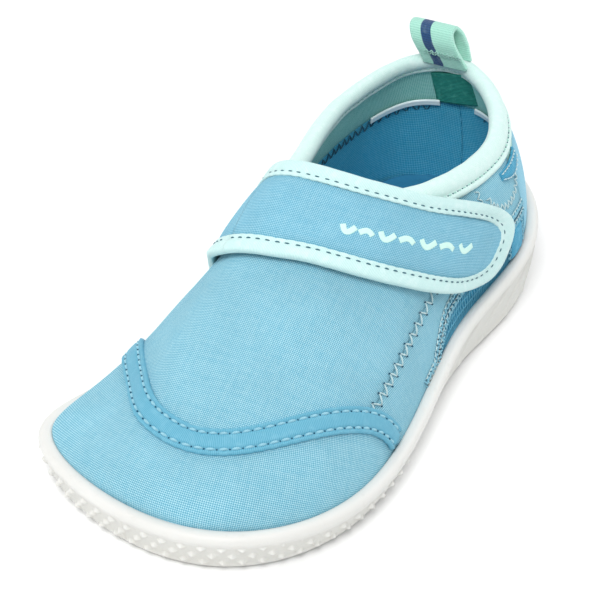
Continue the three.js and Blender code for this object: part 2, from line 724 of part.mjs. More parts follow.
function strapTip() {
  const n = 46;
  const sections = [];
  for (let i = 0; i <= n; i++) {
    const q = i / n;
    const across = [0, 0.35, 0.7, 0.985];
    const top = [CORE_HIGH - 0.1, CORE_HIGH + 0.35, CORE_HIGH + 0.35, CORE_HIGH + 0.1];
    const ring = [];
    across.forEach((f, j) => ring.push(tipSection(q, f, top[j])));
    across.slice().reverse().forEach((f) => {
      ring.push(tipSection(q, f, f === 0 ? CORE_LOW + 0.3 : CORE_LOW - 0.1));
    });
    sections.push(ring);
  }
  bar('strap_tip_bind', sections, false, MINT, 0.75);
  const rows = 23;
  const points = [];
  const faces = [];
  const across = 6;
  for (const off of [CORE_HIGH, CORE_LOW]) {
    for (let i = 0; i <= rows; i++) {
      const q = (i / rows) * 0.492;
      const front = tipSection(q * 0.998, 1.08, off);
      const rear = tipSection(1 - q * 0.998, 1.08, off);
      for (let j = 0; j <= across; j++) {
        const f = j / across;
        const s = coreStation(q);
        const [k, a] = strapPlain(s.s, mix(s.v, 1 - s.v, f));
        points.push(j === 0 ? front : j === across ? rear : place(k, a, off));
      }
    }
  }
  const n2 = (rows + 1) * (across + 1);
  const id = (i, j) => i * (across + 1) + j;
  for (let i = 0; i < rows; i++) {
    for (let j = 0; j < across; j++) {
      quad(faces, id(i, j), id(i + 1, j), id(i + 1, j + 1), id(i, j + 1));
      quad(faces, n2 + id(i, j), n2 + id(i, j + 1), n2 + id(i + 1, j + 1), n2 + id(i + 1, j));
    }
    quad(faces, id(i, 0), n2 + id(i, 0), n2 + id(i + 1, 0), id(i + 1, 0));
    quad(faces, id(i + 1, across), n2 + id(i + 1, across), n2 + id(i, across), id(i, across));
  }
  for (let j = 0; j < across; j++) {
    quad(faces, id(0, j + 1), n2 + id(0, j + 1), n2 + id(0, j), id(0, j));
    quad(faces, id(rows, j), n2 + id(rows, j), n2 + id(rows, j + 1), id(rows, j + 1));
  }
  addMesh('strap_tip', points, faces, SKY, 0.85);
}
function coreStation(q) {
  const s0 = HINGE_B + HALF_GAP;
  const inset = 1.08 * (bindShare - 0.006);
  const sTip = 1 - inset * TIP_SHARE;
  const straight = 0.36;
  if (q < straight) return { s: mix(s0, 0.85, q / straight), v: inset };
  const theta = ((q - straight) / (1 - 2 * straight)) * PI;
  const e = 2 / TIP_POWER;
  const x = Math.max(Math.cos(theta), 0) ** e;
  return { s: mix(0.85, sTip, Math.sin(theta) ** e), v: 0.5 - (0.5 - inset) * x };
}
strapTip();
panel('strap_hook_pad', 8, 4, (u, v) => strapPlain(mix(0.79, 0.94, u), mix(0.16, 0.6, v)),
  CORE_LOW - 0.3 - 0.4, CORE_LOW - 0.3, HOOK, 0.9, 0);
panel('strap_loop_pad', 9, 4, (u, v) => strapPlain(mix(0.76, 0.92, u), mix(0.12, 0.62, v)),
  GAP, GAP + 0.3, SKY_SMOOTH, 0.95, 0);

// ---------------------------------------------------------------- pull loop at the heel
function pullLoop() {
  const root = place(0.001, mouthAngle(0.001), 0);
  const path = [];
  const add = (back, up) => path.push(new THREE.Vector2(root.y + back, root.z + up));
  const tall = LOOP_HEIGHT;
  add(0.3, LOOP_FOOT);
  add(0.75, 0.46 * tall);
  add(0.65, 0.74 * tall);
  add(-0.7, 0.96 * tall);
  add(-2.5, tall);
  add(-4.4, 0.93 * tall);
  add(-5.55, 0.7 * tall);
  add(-5.45, 0.45 * tall);
  add(-4.9, LOOP_FOOT - 0.2);
  const curve = new THREE.SplineCurve(path);
  const n = 40;
  const sections = [];
  for (let i = 0; i <= n; i++) {
    const p = curve.getPoint(i / n);
    const d = curve.getTangent(i / n);
    const normal = new THREE.Vector2(-d.y, d.x);
    const ring = [];
    const across = [-1, -0.34, 0.34, 1];
    for (const x of across) {
      ring.push([x, -0.5]);
    }
    for (const x of across.slice().reverse()) {
      ring.push([x, 0.5]);
    }
    sections.push(ring.map(([x, h]) => new THREE.Vector3(
      root.x + (x * LOOP_WIDTH) / 2 - LOOP_TILT * Math.max(p.y - root.z, 0),
      p.x + normal.x * h * LOOP_THICK,
      p.y + normal.y * h * LOOP_THICK,
    )));
  }
  bar('pull_loop', sections, false, MINT, 0.7);
}
pullLoop();

// the origin is the middle of the footprint, on the ground
const box = new THREE.Box3().setFromObject(shoe);
const shift = new THREE.Vector3(-(box.min.x + box.max.x) / 2, -(box.min.y + box.max.y) / 2, -box.min.z);
for (const mesh of shoe.children) {
  mesh.geometry.translate(shift.x, shift.y, shift.z);
}

export default shoe;
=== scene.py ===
import json
import math

import bmesh
import bpy
import numpy as np
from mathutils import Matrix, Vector

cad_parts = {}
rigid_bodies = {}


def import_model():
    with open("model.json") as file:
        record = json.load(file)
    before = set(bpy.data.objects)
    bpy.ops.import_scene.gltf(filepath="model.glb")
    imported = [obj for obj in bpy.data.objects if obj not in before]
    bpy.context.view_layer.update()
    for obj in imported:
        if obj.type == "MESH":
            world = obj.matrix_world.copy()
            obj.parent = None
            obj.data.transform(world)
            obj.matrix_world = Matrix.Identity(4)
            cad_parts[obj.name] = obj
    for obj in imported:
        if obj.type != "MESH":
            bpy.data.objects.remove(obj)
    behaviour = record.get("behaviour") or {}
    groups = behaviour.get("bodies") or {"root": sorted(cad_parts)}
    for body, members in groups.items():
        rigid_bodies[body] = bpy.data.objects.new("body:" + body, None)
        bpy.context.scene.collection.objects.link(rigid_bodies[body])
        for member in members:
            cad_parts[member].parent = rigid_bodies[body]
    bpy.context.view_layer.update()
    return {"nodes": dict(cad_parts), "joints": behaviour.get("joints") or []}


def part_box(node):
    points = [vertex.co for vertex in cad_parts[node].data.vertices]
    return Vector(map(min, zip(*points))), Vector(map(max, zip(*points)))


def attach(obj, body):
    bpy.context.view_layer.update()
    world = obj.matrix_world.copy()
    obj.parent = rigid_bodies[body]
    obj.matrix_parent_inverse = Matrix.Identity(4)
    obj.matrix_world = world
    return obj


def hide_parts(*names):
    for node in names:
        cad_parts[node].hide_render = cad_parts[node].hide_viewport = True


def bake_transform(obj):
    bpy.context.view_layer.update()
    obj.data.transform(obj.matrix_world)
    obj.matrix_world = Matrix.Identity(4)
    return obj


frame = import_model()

PI = math.pi
MM = 0.001

# ---------------------------------------------------------------- driving sizes of the last
TOE = 7.0
OUTLINE = [
    (3, 86), (-16.5, 80.5), (-26, 58), (-27, 22), (-29, -14), (-35, -46), (-38, -71.5),
    (-6, -86.5), (25, -79.5), (41, -52), (39.5, -15), (36.8, 16), (38, 50), (23, 79.5),
]
LIP_HEIGHT = [19.5, 19.5, 19, 17.5, 14, 12, 12, 12.5, 11.5, 9.5, 9.5, 15.5, 19, 19.5]
CREST_X = [4, 4, 3.5, 1, -2, -3.5, -5]
CREST_Y = [50, 48, 42, 22, -13, -46, -74]
CREST_Z = [77, 76.5, 75, 70, 48.5, 36, 21]
FULLNESS = 0.95
BIG_TOE_FULLNESS = 1.35
HOLLOW = 3.4
LEAN = 6.0
LIP = 3.4
FLOOR_TOE = 5.0
FLOOR_HEEL = 8.0
TUCK = 0.15
UPPER = 1.3
LINING = 0.8
LIN_LOW = -2.4
COLLAR_WIDTH = 5.6
CORE_LOW = 2.1
CORE_HIGH = 3.5
STRAP_WIDTH = 27
BIND_SHARE = 4.2 / STRAP_WIDTH
TIP_SHARE = 0.3  # a binding width across the strap is this much of its length at the tip
LOOP_WIDTH = 13.0
LOOP_THICK = 1.4
LOOP_HEIGHT = 9.6
LOOP_TILT = 0.45
LOOP_FOOT = 2.6
STRIPE = (3.4, 6.4)
SPLIT = 3.25
ZIGZAG = 0.885
COUNTER_END = 1.9
MOUTH = [
    (-1, 0.18), (0, 0.195), (1, 0.18), (2, 0.16), (2.9, 0.205), (3.6, 0.33), (4.05, 0.5),
    (3.6, 0.66), (2.9, 0.795), (2, 0.85), (1, 0.82), (0, 0.805), (-1, 0.82),
]
MOUTH_SPANS = len(MOUTH) - 3
TOE_SEAM = [4.7, 4.85, 5.1, 5.42, 5.72, 5.88, 5.86, 5.62, 5.08, 4.66, 4.48]
STRAP_REAR = [
    (3.3, 0.02), (3.42, 0.18), (3.5, 0.3), (3.66, 0.43), (3.6, 0.575), (3.475, 0.657),
    (3.2, 0.765), (2.67, 0.86), (2.15, 0.94),
]
STRAP_FRONT = [
    (3.8, 0.02), (4.0, 0.16), (4.38, 0.34), (4.39, 0.48), (4.27, 0.577), (4.16, 0.675),
    (3.9, 0.79), (3.42, 0.915), (2.6, 1.0),
]
HINGE_A = 0.12
STRAP_CUT = 0.31
HINGE_B = 0.5
NUB_ROWS = 3
NUB_ROW_PITCH = 2.5
NUB_PITCH = 4.7
STITCH = 0.2  # radius of the fine sewing thread


# ---------------------------------------------------------------- curves
def basis(f):
    return [(1 - f) ** 3 / 6, (3 * f**3 - 6 * f**2 + 4) / 6,
            (-3 * f**3 + 3 * f**2 + 3 * f + 1) / 6, f**3 / 6]


def closed_spline(values, t):
    values = np.asarray(values, float)
    t = np.asarray(t, float)
    i = np.floor(t).astype(int)
    w = basis(t - i)
    return sum(w[k] * values[(i + k - 1) % len(values)] for k in range(4))


def open_spline(values, t):
    values = np.asarray(values, float)
    t = np.asarray(t, float)
    i = np.clip(np.floor(t).astype(int), 0, len(values) - 4)
    w = basis(t - i)
    return sum(w[k] * values[i + k] for k in range(4))


def held_spline(values, f):
    """A B-spline over 0 to 1 whose end values are repeated."""
    values = np.asarray(values, float)
    n = len(values) - 1
    x = np.clip(f, 0, 1) * n
    i = np.minimum(np.floor(x).astype(int), n - 1)
    w = basis(x - i)
    return sum(w[k] * values[np.clip(i + k - 1, 0, n)] for k in range(4))


def controls_through(points):
    points = np.asarray(points, float)
    controls = points.copy()
    for _ in range(60):
        value = (np.roll(controls, 1) + 4 * controls + np.roll(controls, -1)) / 6
        controls = controls + points - value
    return controls


def smooth(x, a, b):
    f = np.clip((np.asarray(x, float) - a) / (b - a), 0, 1)
    return f * f * (3 - 2 * f)


def mix(a, b, f):
    return a + (b - a) * f


def unit(v):
    return v / np.maximum(np.linalg.norm(v, axis=-1, keepdims=True), 1e-12)


def run_length(P):
    """Length along a line of points, from its first one."""
    return np.concatenate([[0], np.cumsum(np.linalg.norm(np.diff(P, axis=0), axis=1))])


def unit_grid(nu, nv):
    return np.meshgrid(np.linspace(0, 1, nu + 1), np.linspace(0, 1, nv + 1), indexing="ij")


def at_station(t, low, high):
    """A curve across the last at one signed station, between two angles."""
    return lambda f: (np.full_like(f, t), mix(low, high, f))


OUTLINE_X = controls_through([p[0] for p in OUTLINE])
OUTLINE_Y = controls_through([p[1] for p in OUTLINE])


def edge(t, inset):
    t = np.asarray(t, float)
    h = 0.02
    dx = closed_spline(OUTLINE_X, t + h) - closed_spline(OUTLINE_X, t - h)
    dy = closed_spline(OUTLINE_Y, t + h) - closed_spline(OUTLINE_Y, t - h)
    n = np.hypot(dx, dy)
    return np.stack([
        closed_spline(OUTLINE_X, t) - dy / n * inset,
        closed_spline(OUTLINE_Y, t) + dx / n * inset,
        closed_spline(LIP_HEIGHT, t),
    ], -1)


toe_base = edge(TOE, LIP)
CREST = [
    [v[1], *v, end, beyond] for v, end, beyond in (
        (CREST_X, (6 * toe_base[0] - 2 * CREST_X[6]) / 4, CREST_X[6]),
        (CREST_Y, (6 * toe_base[1] - 2 * CREST_Y[6]) / 4, CREST_Y[6]),
        (CREST_Z, toe_base[2], 2 * toe_base[2] - CREST_Z[6]),
    )
]


def floor_height(k):
    return mix(FLOOR_HEEL, FLOOR_TOE, smooth(k, 1.5, 4.5))


def last(k, a):
    """A point of the last: station k from heel 0 to toe 7, angle a from the medial lip to pi."""
    k, a = np.broadcast_arrays(np.asarray(k, float), np.asarray(a, float))
    angle = np.clip(a, 0, PI)
    medial = edge(k, LIP)
    lateral = edge(-k, LIP)
    crest = np.stack([open_spline(c, k) for c in CREST], -1)
    cos = np.cos(angle)
    big_toe = smooth(k, 4.3, 6.2) * smooth(cos, 0.0, 0.75)
    fullness = mix(FULLNESS, BIG_TOE_FULLNESS, big_toe)
    c = (np.abs(cos) ** fullness)[..., None]
    s = (np.maximum(np.sin(angle), 0) ** fullness)[..., None]
    side = np.where((cos >= 0)[..., None], medial, lateral)
    fan = np.concatenate([
        mix(crest[..., :2], side[..., :2], c),
        mix(side[..., 2:], crest[..., 2:], s),
    ], -1)
    middle = (medial + lateral) / 2
    arch = middle + (side - middle) * c + (crest - middle) * s
    fan = mix(fan, arch, smooth(k, 2.4, 4.2)[..., None])
    shoulder = smooth(k, 2.2, 3.4) * (1 - smooth(k, 5.2, 6.7)) * np.sin(2 * angle) ** 2
    shoulder = np.where(cos > 0, shoulder, 0)
    fan[..., 0] += HOLLOW * shoulder
    fan[..., 2] -= HOLLOW * shoulder
    signed = np.where(cos >= 0, k, -k)
    lean = smooth(-signed, -0.9, 0.9) * (1 - smooth(k, 2, 3.3))
    fan[..., 0] -= LEAN * lean * np.minimum(s[..., 0] / 0.53, 1.3) ** 2
    below = np.where(a < 0, -a, np.maximum(a - PI, 0)) / TUCK
    fan[..., 2] = mix(fan[..., 2], floor_height(k) + 0.6, below)
    return fan


def last_normal(k, a):
    k, a = np.broadcast_arrays(np.asarray(k, float), np.asarray(a, float))
    h = 0.004
    flat = np.clip(a, 0, PI)
    u = last(np.minimum(k + h, TOE - 0.0005), flat) - last(np.maximum(k - h, 0), flat)
    v = last(k, np.minimum(flat + h, PI)) - last(k, np.maximum(flat - h, 0))
    return unit(np.cross(u, v))


def unfold(t, a):
    """Signed station round the heel, positive medial, to (station, angle)."""
    t, a = np.broadcast_arrays(np.asarray(t, float), np.asarray(a, float))
    return np.abs(t), np.where(t < 0, PI - a, a)


def place(t, a, off):
    k, angle = unfold(t, a)
    return last(k, angle) + last_normal(k, angle) * np.asarray(off, float)[..., None]


TABLE_S = np.linspace(0, MOUTH_SPANS, 4001)
TABLE_K = open_spline([p[0] for p in MOUTH], TABLE_S)
TABLE_A = open_spline([p[1] * PI for p in MOUTH], TABLE_S)


def mouth_at(s):
    s = np.mod(s, MOUTH_SPANS)
    return np.interp(s, TABLE_S, TABLE_K), np.interp(s, TABLE_S, TABLE_A)


def mouth_angle(t):
    half = len(TABLE_S) // 2
    k = np.abs(np.asarray(t, float))
    on_medial = np.interp(k, TABLE_K[:half + 1], TABLE_A[:half + 1])
    on_lateral = PI - np.interp(k, TABLE_K[half:][::-1], TABLE_A[half:][::-1])
    return np.where(np.asarray(t) >= 0, on_medial, on_lateral)


def throat_station(a):
    part = (TABLE_S >= 2.5) & (TABLE_S <= MOUTH_SPANS - 2.5)
    return np.interp(a, TABLE_A[part], TABLE_K[part])


def toe_seam(a):
    return held_spline(TOE_SEAM, np.asarray(a) / PI)


def drain_edge(k):
    return (0.945 + 0.004 * (k - 3) ** 2) * PI + (0.045 * PI + TUCK) * smooth(k, 3.3, 3.95)


def counter_top(t):
    return mouth_angle(t) * (0.66 - 0.06 * np.cos(np.asarray(t) / COUNTER_END * PI))


def lining_top(t):
    return mouth_angle(t) * 0.5


def beside(k, a, dk, da, w):
    """Steps w millimetres across a curve drawn on the last, staying on the surface."""
    h = 0.01
    U = (last(k + h, a) - last(k - h, a)) * (0.5 / h)
    V = (last(k, a + h) - last(k, a - h)) * (0.5 / h)
    T = unit(U * dk[..., None] + V * da[..., None])
    B = np.cross(T, unit(np.cross(U, V)))
    uu = (U * U).sum(-1)
    uv = (U * V).sum(-1)
    vv = (V * V).sum(-1)
    det = uu * vv - uv * uv
    bu = (B * U).sum(-1)
    bv = (B * V).sum(-1)
    return k + (bu * vv - bv * uv) / det * w, a + (bv * uu - bu * uv) / det * w


def strap_plain(s, v):
    """s runs from the medial anchor 0 to the tip 1, v from the front edge 0 to the rear edge 1."""
    front = [held_spline([p[c] for p in STRAP_FRONT], s) for c in (0, 1)]
    rear = [held_spline([p[c] for p in STRAP_REAR], s) for c in (0, 1)]
    return mix(front[0], rear[0], v), mix(front[1], rear[1], v) * PI


def strap_point(s, v, off):
    k, a = strap_plain(s, v)
    return place(k, a, off)


# the shape formulas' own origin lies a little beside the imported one
ring = edge(np.arange(144) / 144 * 2 * TOE, 0)
sole_low, sole_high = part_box("outsole")
SHIFT = np.array([
    (sole_low.x + sole_high.x) / 2 / MM - (ring[:, 0].min() + ring[:, 0].max()) / 2,
    (sole_low.y + sole_high.y) / 2 / MM - (ring[:, 1].min() + ring[:, 1].max()) / 2,
    0.0,
])


# ---------------------------------------------------------------- meshes
def grid_faces(n, m, wrap_i=False, wrap_j=False):
    """Faces of a grid of n by m points, and each corner's row and column."""
    i, j = np.meshgrid(np.arange(n - (not wrap_i)), np.arange(m - (not wrap_j)), indexing="ij")
    i, j = i.ravel(), j.ravel()
    i2, j2 = (i + 1) % n, (j + 1) % m
    faces = np.stack([i * m + j, i2 * m + j, i2 * m + j2, i * m + j2], -1)
    corners = np.stack([np.stack([i, j], -1), np.stack([i + 1, j], -1),
                        np.stack([i + 1, j + 1], -1), np.stack([i, j + 1], -1)], 1)
    return faces, corners


def make(name, points, faces, uv=None, material=None, flip=False, values=None):
    """A mesh object from millimetre points. uv holds one pair for each face corner."""
    points = (np.asarray(points, float).reshape(-1, 3) + SHIFT) * MM
    mesh = bpy.data.meshes.new(name)
    if flip:
        faces = faces[:, ::-1]
    mesh.from_pydata(points.tolist(), [], [list(map(int, f)) for f in faces])
    mesh.polygons.foreach_set("use_smooth", [True] * len(mesh.polygons))
    if uv is not None:
        layer = mesh.uv_layers.new(name="weave")
        layer.data.foreach_set("uv", np.ascontiguousarray(uv, np.float32).ravel())
    # values fill a per-point attribute that materials darken by: painted shade near seams and under
    # the sole's lip; the sole also gets rougher by it
    if values is not None:
        attribute = mesh.attributes.new("painted_shade", "FLOAT", "POINT")
        attribute.data.foreach_set("value", np.asarray(values, np.float32).ravel())
    mesh.update()
    obj = bpy.data.objects.new(name, mesh)
    bpy.context.scene.collection.objects.link(obj)
    if material is not None:
        mesh.materials.append(material)
    return obj


def face_outwards(obj):
    """Turns every face of a closed mesh outwards."""
    bm = bmesh.new()
    bm.from_mesh(obj.data)
    bmesh.ops.recalc_face_normals(bm, faces=bm.faces)
    bm.to_mesh(obj.data)
    bm.free()
    return obj


def read(items, key, width=1, kind=np.float32):
    """One value, or width values, of each item as an array."""
    values = np.zeros(len(items) * width, kind)
    items.foreach_get(key, values)
    return values if width == 1 else values.reshape(-1, width).astype(float)


def pick(*objects):
    """Selects only these objects and makes the first one active."""
    view = bpy.context.view_layer
    for o in list(view.objects.selected):
        o.select_set(False)
    for o in objects:
        o.select_set(True)
    view.objects.active = objects[0]


def apply_all(obj):
    pick(obj)
    for modifier in list(obj.modifiers):
        bpy.ops.object.modifier_apply(modifier=modifier.name)


def thicken(obj, thick):
    solid = obj.modifiers.new("thickness", "SOLIDIFY")
    solid.thickness = thick * MM
    solid.offset = -1
    return solid


def own(obj, body, slot, *nodes):
    """Rides on a body and stands for CAD nodes; slot is not used."""
    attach(obj, body)
    if nodes:
        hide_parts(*nodes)
    return obj


def arc(P, axis):
    """Length along a grid direction, from its first line."""
    d = np.linalg.norm(np.diff(P, axis=axis), axis=-1)
    zero = np.zeros_like(np.take(d, [0], axis=axis))
    return np.concatenate([zero, np.cumsum(d, axis=axis)], axis=axis)


def ripple(P, size, seed):
    """Slow uneven swell, from -1 to 1, the same on every run."""
    rng = np.random.default_rng(seed)
    total = np.zeros(P.shape[:-1])
    for _ in range(7):
        direction = rng.normal(size=3)
        direction /= np.linalg.norm(direction)
        wave = 2 * PI / (size * rng.uniform(0.7, 1.6))
        total += np.sin(P @ direction * wave + rng.uniform(0, 2 * PI))
    return total / 7


def flatten(obj):
    """Cuts the sheet's pattern flat, in millimetres, with the warp along the foot."""
    pick(obj)
    mesh = obj.data
    mesh.uv_layers.new(name="weave")
    bpy.ops.object.mode_set(mode="EDIT")
    bpy.ops.mesh.select_all(action="SELECT")
    bpy.ops.uv.unwrap(method="ANGLE_BASED", margin=0.0)
    bpy.ops.object.mode_set(mode="OBJECT")
    layer = mesh.uv_layers["weave"].data
    uv = read(layer, "uv", 2)
    P = read(mesh.vertices, "co", 3)[read(mesh.loops, "vertex_index", kind=np.int32)] / MM
    starts = read(mesh.polygons, "loop_start", kind=np.int32)
    area3 = np.linalg.norm(np.cross(P[starts + 1] - P[starts], P[starts + 2] - P[starts]),
                           axis=1).sum()
    e, f = uv[starts + 1] - uv[starts], uv[starts + 2] - uv[starts]
    area2 = np.abs(e[:, 0] * f[:, 1] - e[:, 1] * f[:, 0]).sum()
    scale = math.sqrt(area3 / max(area2, 1e-12))
    forward = -P[:, 1]
    centred = uv - uv.mean(0)
    slope, *_ = np.linalg.lstsq(centred, forward - forward.mean(), rcond=None)
    angle = math.atan2(slope[1], slope[0])
    turn = np.array([[math.sin(angle), math.cos(angle)], [-math.cos(angle), math.sin(angle)]])
    layer.foreach_set("uv", (centred @ turn * scale).astype(np.float32).ravel())


def sheet(name, nu, nv, at, off, thick, material, dips=(0, 0, 0, 0), reach=1.6, swell=0.0,
          seed=1, inward=False, trim=0.05, crown=0.0):
    """One cut panel of fabric: at(u, v) gives signed station and angle; dips sink its borders."""
    u, v = unit_grid(nu, nv)
    t, a = at(u, v)
    P = place(t, a, np.full(u.shape, float(off)))
    du, dv = arc(P, 0), arc(P, 1)
    far = [du, du[-1:] - du, dv, dv[:, -1:] - dv]
    sink = sum(d * np.exp(-(f / reach) ** 2) for d, f in zip(dips, far))
    sewn = [f for d, f in zip(dips, far) if d]
    border = np.exp(-np.min(sewn, axis=0) / 2.2) if sewn else np.zeros(u.shape)
    lift = -sink + swell * ripple(P, 22.0, seed) * (1 - border)
    lift = lift + crown * np.sin(PI * u) * np.sin(PI * v)
    P = place(t, a, off + (-lift if inward else lift))
    moved = P.copy()
    for line, inner in ((0, 1), (-1, -2)):
        moved[line] += unit(P[inner] - P[line]) * trim
        moved[:, line] += unit(P[:, inner] - P[:, line]) * trim
    i, j = nu // 2, nv // 2
    normal = np.cross(P[i + 1, j] - P[i, j], P[i, j + 1] - P[i, j])
    outward = float(np.dot(normal, last_normal(*unfold(t[i, j], a[i, j])))) > 0
    # border also feeds that attribute: painted shade darkening the cloth where the panel dips at its
    # sewn edges
    obj = make(name, moved, grid_faces(nu + 1, nv + 1)[0], material=material,
               flip=(outward == inward), values=border)
    flatten(obj)
    thicken(obj, thick).use_even_offset = False
    return obj


def loft(name, P, uv, material, wrap=False, values=None):
    """Rings of points, closed round each ring; wrap joins the last ring to the first."""
    n, m = P.shape[:2]
    faces, corners = grid_faces(n, m, wrap_i=wrap, wrap_j=True)
    corner_uv = [uv[corners[..., 0], corners[..., 1]].reshape(-1, 2)]
    faces = faces.tolist()
    for row in () if wrap else (0, n - 1):
        for j in range(m // 2 - 1):
            quad = [j, j + 1, m - 2 - j, m - 1 - j]
            if quad[1] == quad[2]:
                quad = [quad[0], quad[1], quad[3]]
            quad = quad if row else quad[::-1]
            faces.append([row * m + q for q in quad])
            corner_uv.append(uv[row, quad])
    return face_outwards(make(name, P, faces, np.concatenate(corner_uv), material, values=values))


# ---------------------------------------------------------------- materials
class Nodes:
    """Short forms for building one material's node tree."""

    def __init__(self, name, roughness=0.6, sheen=0.0, sheen_tint=(1, 1, 1, 1), specular=0.5,
                 coat=0.0, subsurface=0.0):
        self.material = bpy.data.materials.new(name)
        self.material.use_nodes = True
        self.tree = self.material.node_tree
        self.shader = self.tree.nodes["Principled BSDF"]
        self.shader.inputs["Roughness"].default_value = roughness
        self.shader.inputs["Sheen Weight"].default_value = sheen
        self.shader.inputs["Sheen Roughness"].default_value = 0.45
        self.shader.inputs["Sheen Tint"].default_value = sheen_tint
        self.shader.inputs["Specular IOR Level"].default_value = specular
        self.shader.inputs["Coat Weight"].default_value = coat
        self.shader.inputs["Subsurface Weight"].default_value = subsurface
        self.shader.inputs["Subsurface Radius"].default_value = (1.0, 0.9, 0.8)
        self.shader.inputs["Subsurface Scale"].default_value = 0.002

    def node(self, kind, **settings):
        n = self.tree.nodes.new(kind)
        for key, value in settings.items():
            setattr(n, key, value)
        return n

    def put(self, socket, value):
        if isinstance(value, bpy.types.NodeSocket):
            self.tree.links.new(value, socket)
        else:
            socket.default_value = value

    def math(self, operation, a, b=0.0, c=0.0):
        n = self.node("ShaderNodeMath", operation=operation)
        for socket, value in zip(n.inputs, (a, b, c)):
            self.put(socket, value)
        return n.outputs[0]

    def add(self, a, b):
        return self.math("ADD", a, b)

    def mul(self, a, b):
        return self.math("MULTIPLY", a, b)

    def blend(self, fac, a, b, kind="MIX"):
        n = self.node("ShaderNodeMix", data_type="RGBA", blend_type=kind)
        self.put(n.inputs[0], fac)
        self.put(n.inputs[6], a)
        self.put(n.inputs[7], b)
        return n.outputs[2]

    def step(self, value, low, high):
        n = self.node("ShaderNodeMapRange", interpolation_type="SMOOTHSTEP")
        self.put(n.inputs["Value"], value)
        n.inputs["From Min"].default_value = low
        n.inputs["From Max"].default_value = high
        return n.outputs[0]

    def flat(self):
        """Position on the cut cloth in millimetres."""
        uv = self.node("ShaderNodeUVMap", uv_map="weave")
        split = self.node("ShaderNodeSeparateXYZ")
        self.tree.links.new(uv.outputs[0], split.inputs[0])
        return uv.outputs[0], split.outputs[0], split.outputs[1]

    def solid(self):
        """Position in the part's frame, in millimetres."""
        where = self.node("ShaderNodeTexCoord")
        grow = self.node("ShaderNodeVectorMath", operation="SCALE")
        grow.inputs["Scale"].default_value = 1 / MM
        self.tree.links.new(where.outputs["Object"], grow.inputs[0])
        return grow.outputs[0]

    def noise(self, vector, scale, detail=2.0, rough=0.5, stretch=None):
        if stretch:
            squeeze = self.node("ShaderNodeMapping")
            squeeze.inputs["Scale"].default_value = stretch
            self.put(squeeze.inputs["Vector"], vector)
            vector = squeeze.outputs[0]
        n = self.node("ShaderNodeTexNoise")
        self.put(n.inputs["Vector"], vector)
        n.inputs["Scale"].default_value = scale
        n.inputs["Detail"].default_value = detail
        n.inputs["Roughness"].default_value = rough
        return n.outputs["Fac"]

    def sine(self, value, wavelength, phase=0.0):
        return self.math("SINE", self.math("MULTIPLY_ADD", value, 2 * PI / wavelength, phase))

    # The per-point darkening attribute: painted shade near seams and bindings where cloth dips, and
    # on the sole's wall under its lip
    def painted_shade(self):
        return self.node("ShaderNodeAttribute", attribute_name="painted_shade").outputs["Fac"]

    def plain_weave(self, u, v, warp, weft):
        """Height of a plain weave: warp and weft yarns pass over each other by turns."""
        su = self.sine(u, 2 * warp)
        sv = self.sine(v, 2 * weft)
        over = self.math("MULTIPLY", self.mul(su, sv), 3.0)
        over = self.math("MAXIMUM", self.math("MINIMUM", over, 1.0), -1.0)
        round_u = self.math("POWER", self.math("ABSOLUTE", su), 0.6)
        round_v = self.math("POWER", self.math("ABSOLUTE", sv), 0.6)
        up = self.mul(round_u, self.math("MULTIPLY_ADD", over, 0.25, 0.72))
        across = self.mul(round_v, self.math("MULTIPLY_ADD", over, -0.25, 0.72))
        return self.math("MAXIMUM", up, across), over

    def finish(self, colour, height=None, depth=0.0, roughness=None):
        self.put(self.shader.inputs["Base Color"], colour)
        if roughness is not None:
            self.put(self.shader.inputs["Roughness"], roughness)
        if height is not None:
            bump = self.node("ShaderNodeBump")
            bump.inputs["Distance"].default_value = depth * MM
            self.put(bump.inputs["Height"], height)
            self.tree.links.new(bump.outputs[0], self.shader.inputs["Normal"])
        return self.material


def rgb(text):
    """Linear colour from a six-digit sRGB hex string."""
    out = []
    for i in (0, 2, 4):
        c = int(text[i:i + 2], 16) / 255
        out.append(c / 12.92 if c <= 0.04045 else ((c + 0.055) / 1.055) ** 2.4)
    return (*out, 1.0)


def woven(name, dark, base, light, warp, weft, depth, roughness=0.85, sheen=0.25, shaded_and_faded=0.12,
          fleck=0.5, swell=0.10):
    """Cloth with visible yarns, lighter crowns, dark pores, slow unevenness and painted shade near
    its seams.
    """
    m = Nodes(name, roughness=roughness, sheen=sheen, sheen_tint=rgb(light), specular=0.25)
    flat, u, v = m.flat()
    height, over = m.plain_weave(u, v, warp, weft)
    slub = m.noise(flat, 0.9, 3.0, 0.6, stretch=(1.0, 0.18, 1.0))
    slub_across = m.noise(flat, 0.9, 3.0, 0.6, stretch=(0.18, 1.0, 1.0))
    yarn = m.blend(m.math("MULTIPLY_ADD", over, 0.5, 0.5), slub_across, slub)
    crown = m.step(m.add(height, m.math("MULTIPLY_ADD", yarn, fleck, -fleck / 2)), 0.62, 1.0)
    pore = m.step(height, 0.25, 0.7)
    colour = m.blend(crown, rgb(base), rgb(light))
    colour = m.blend(pore, rgb(dark), colour)
    slow = m.noise(flat, 0.06, 2.0)
    shade = m.math("MULTIPLY_ADD", slow, swell * 2, 1 - swell)
    # painted shade: darker where the attribute is high, near seams and bindings where the cloth dips
    shade = m.mul(shade, m.math("MULTIPLY_ADD", m.painted_shade(), -shaded_and_faded, 1.0))
    tone = m.node("ShaderNodeCombineColor")
    for socket in tone.inputs:
        m.put(socket, shade)
    colour = m.blend(1.0, colour, tone.outputs[0], "MULTIPLY")
    rough = m.math("MULTIPLY_ADD", slow, 0.12, roughness - 0.06)
    return m.finish(colour, m.add(height, m.mul(yarn, 0.3)), depth, rough)


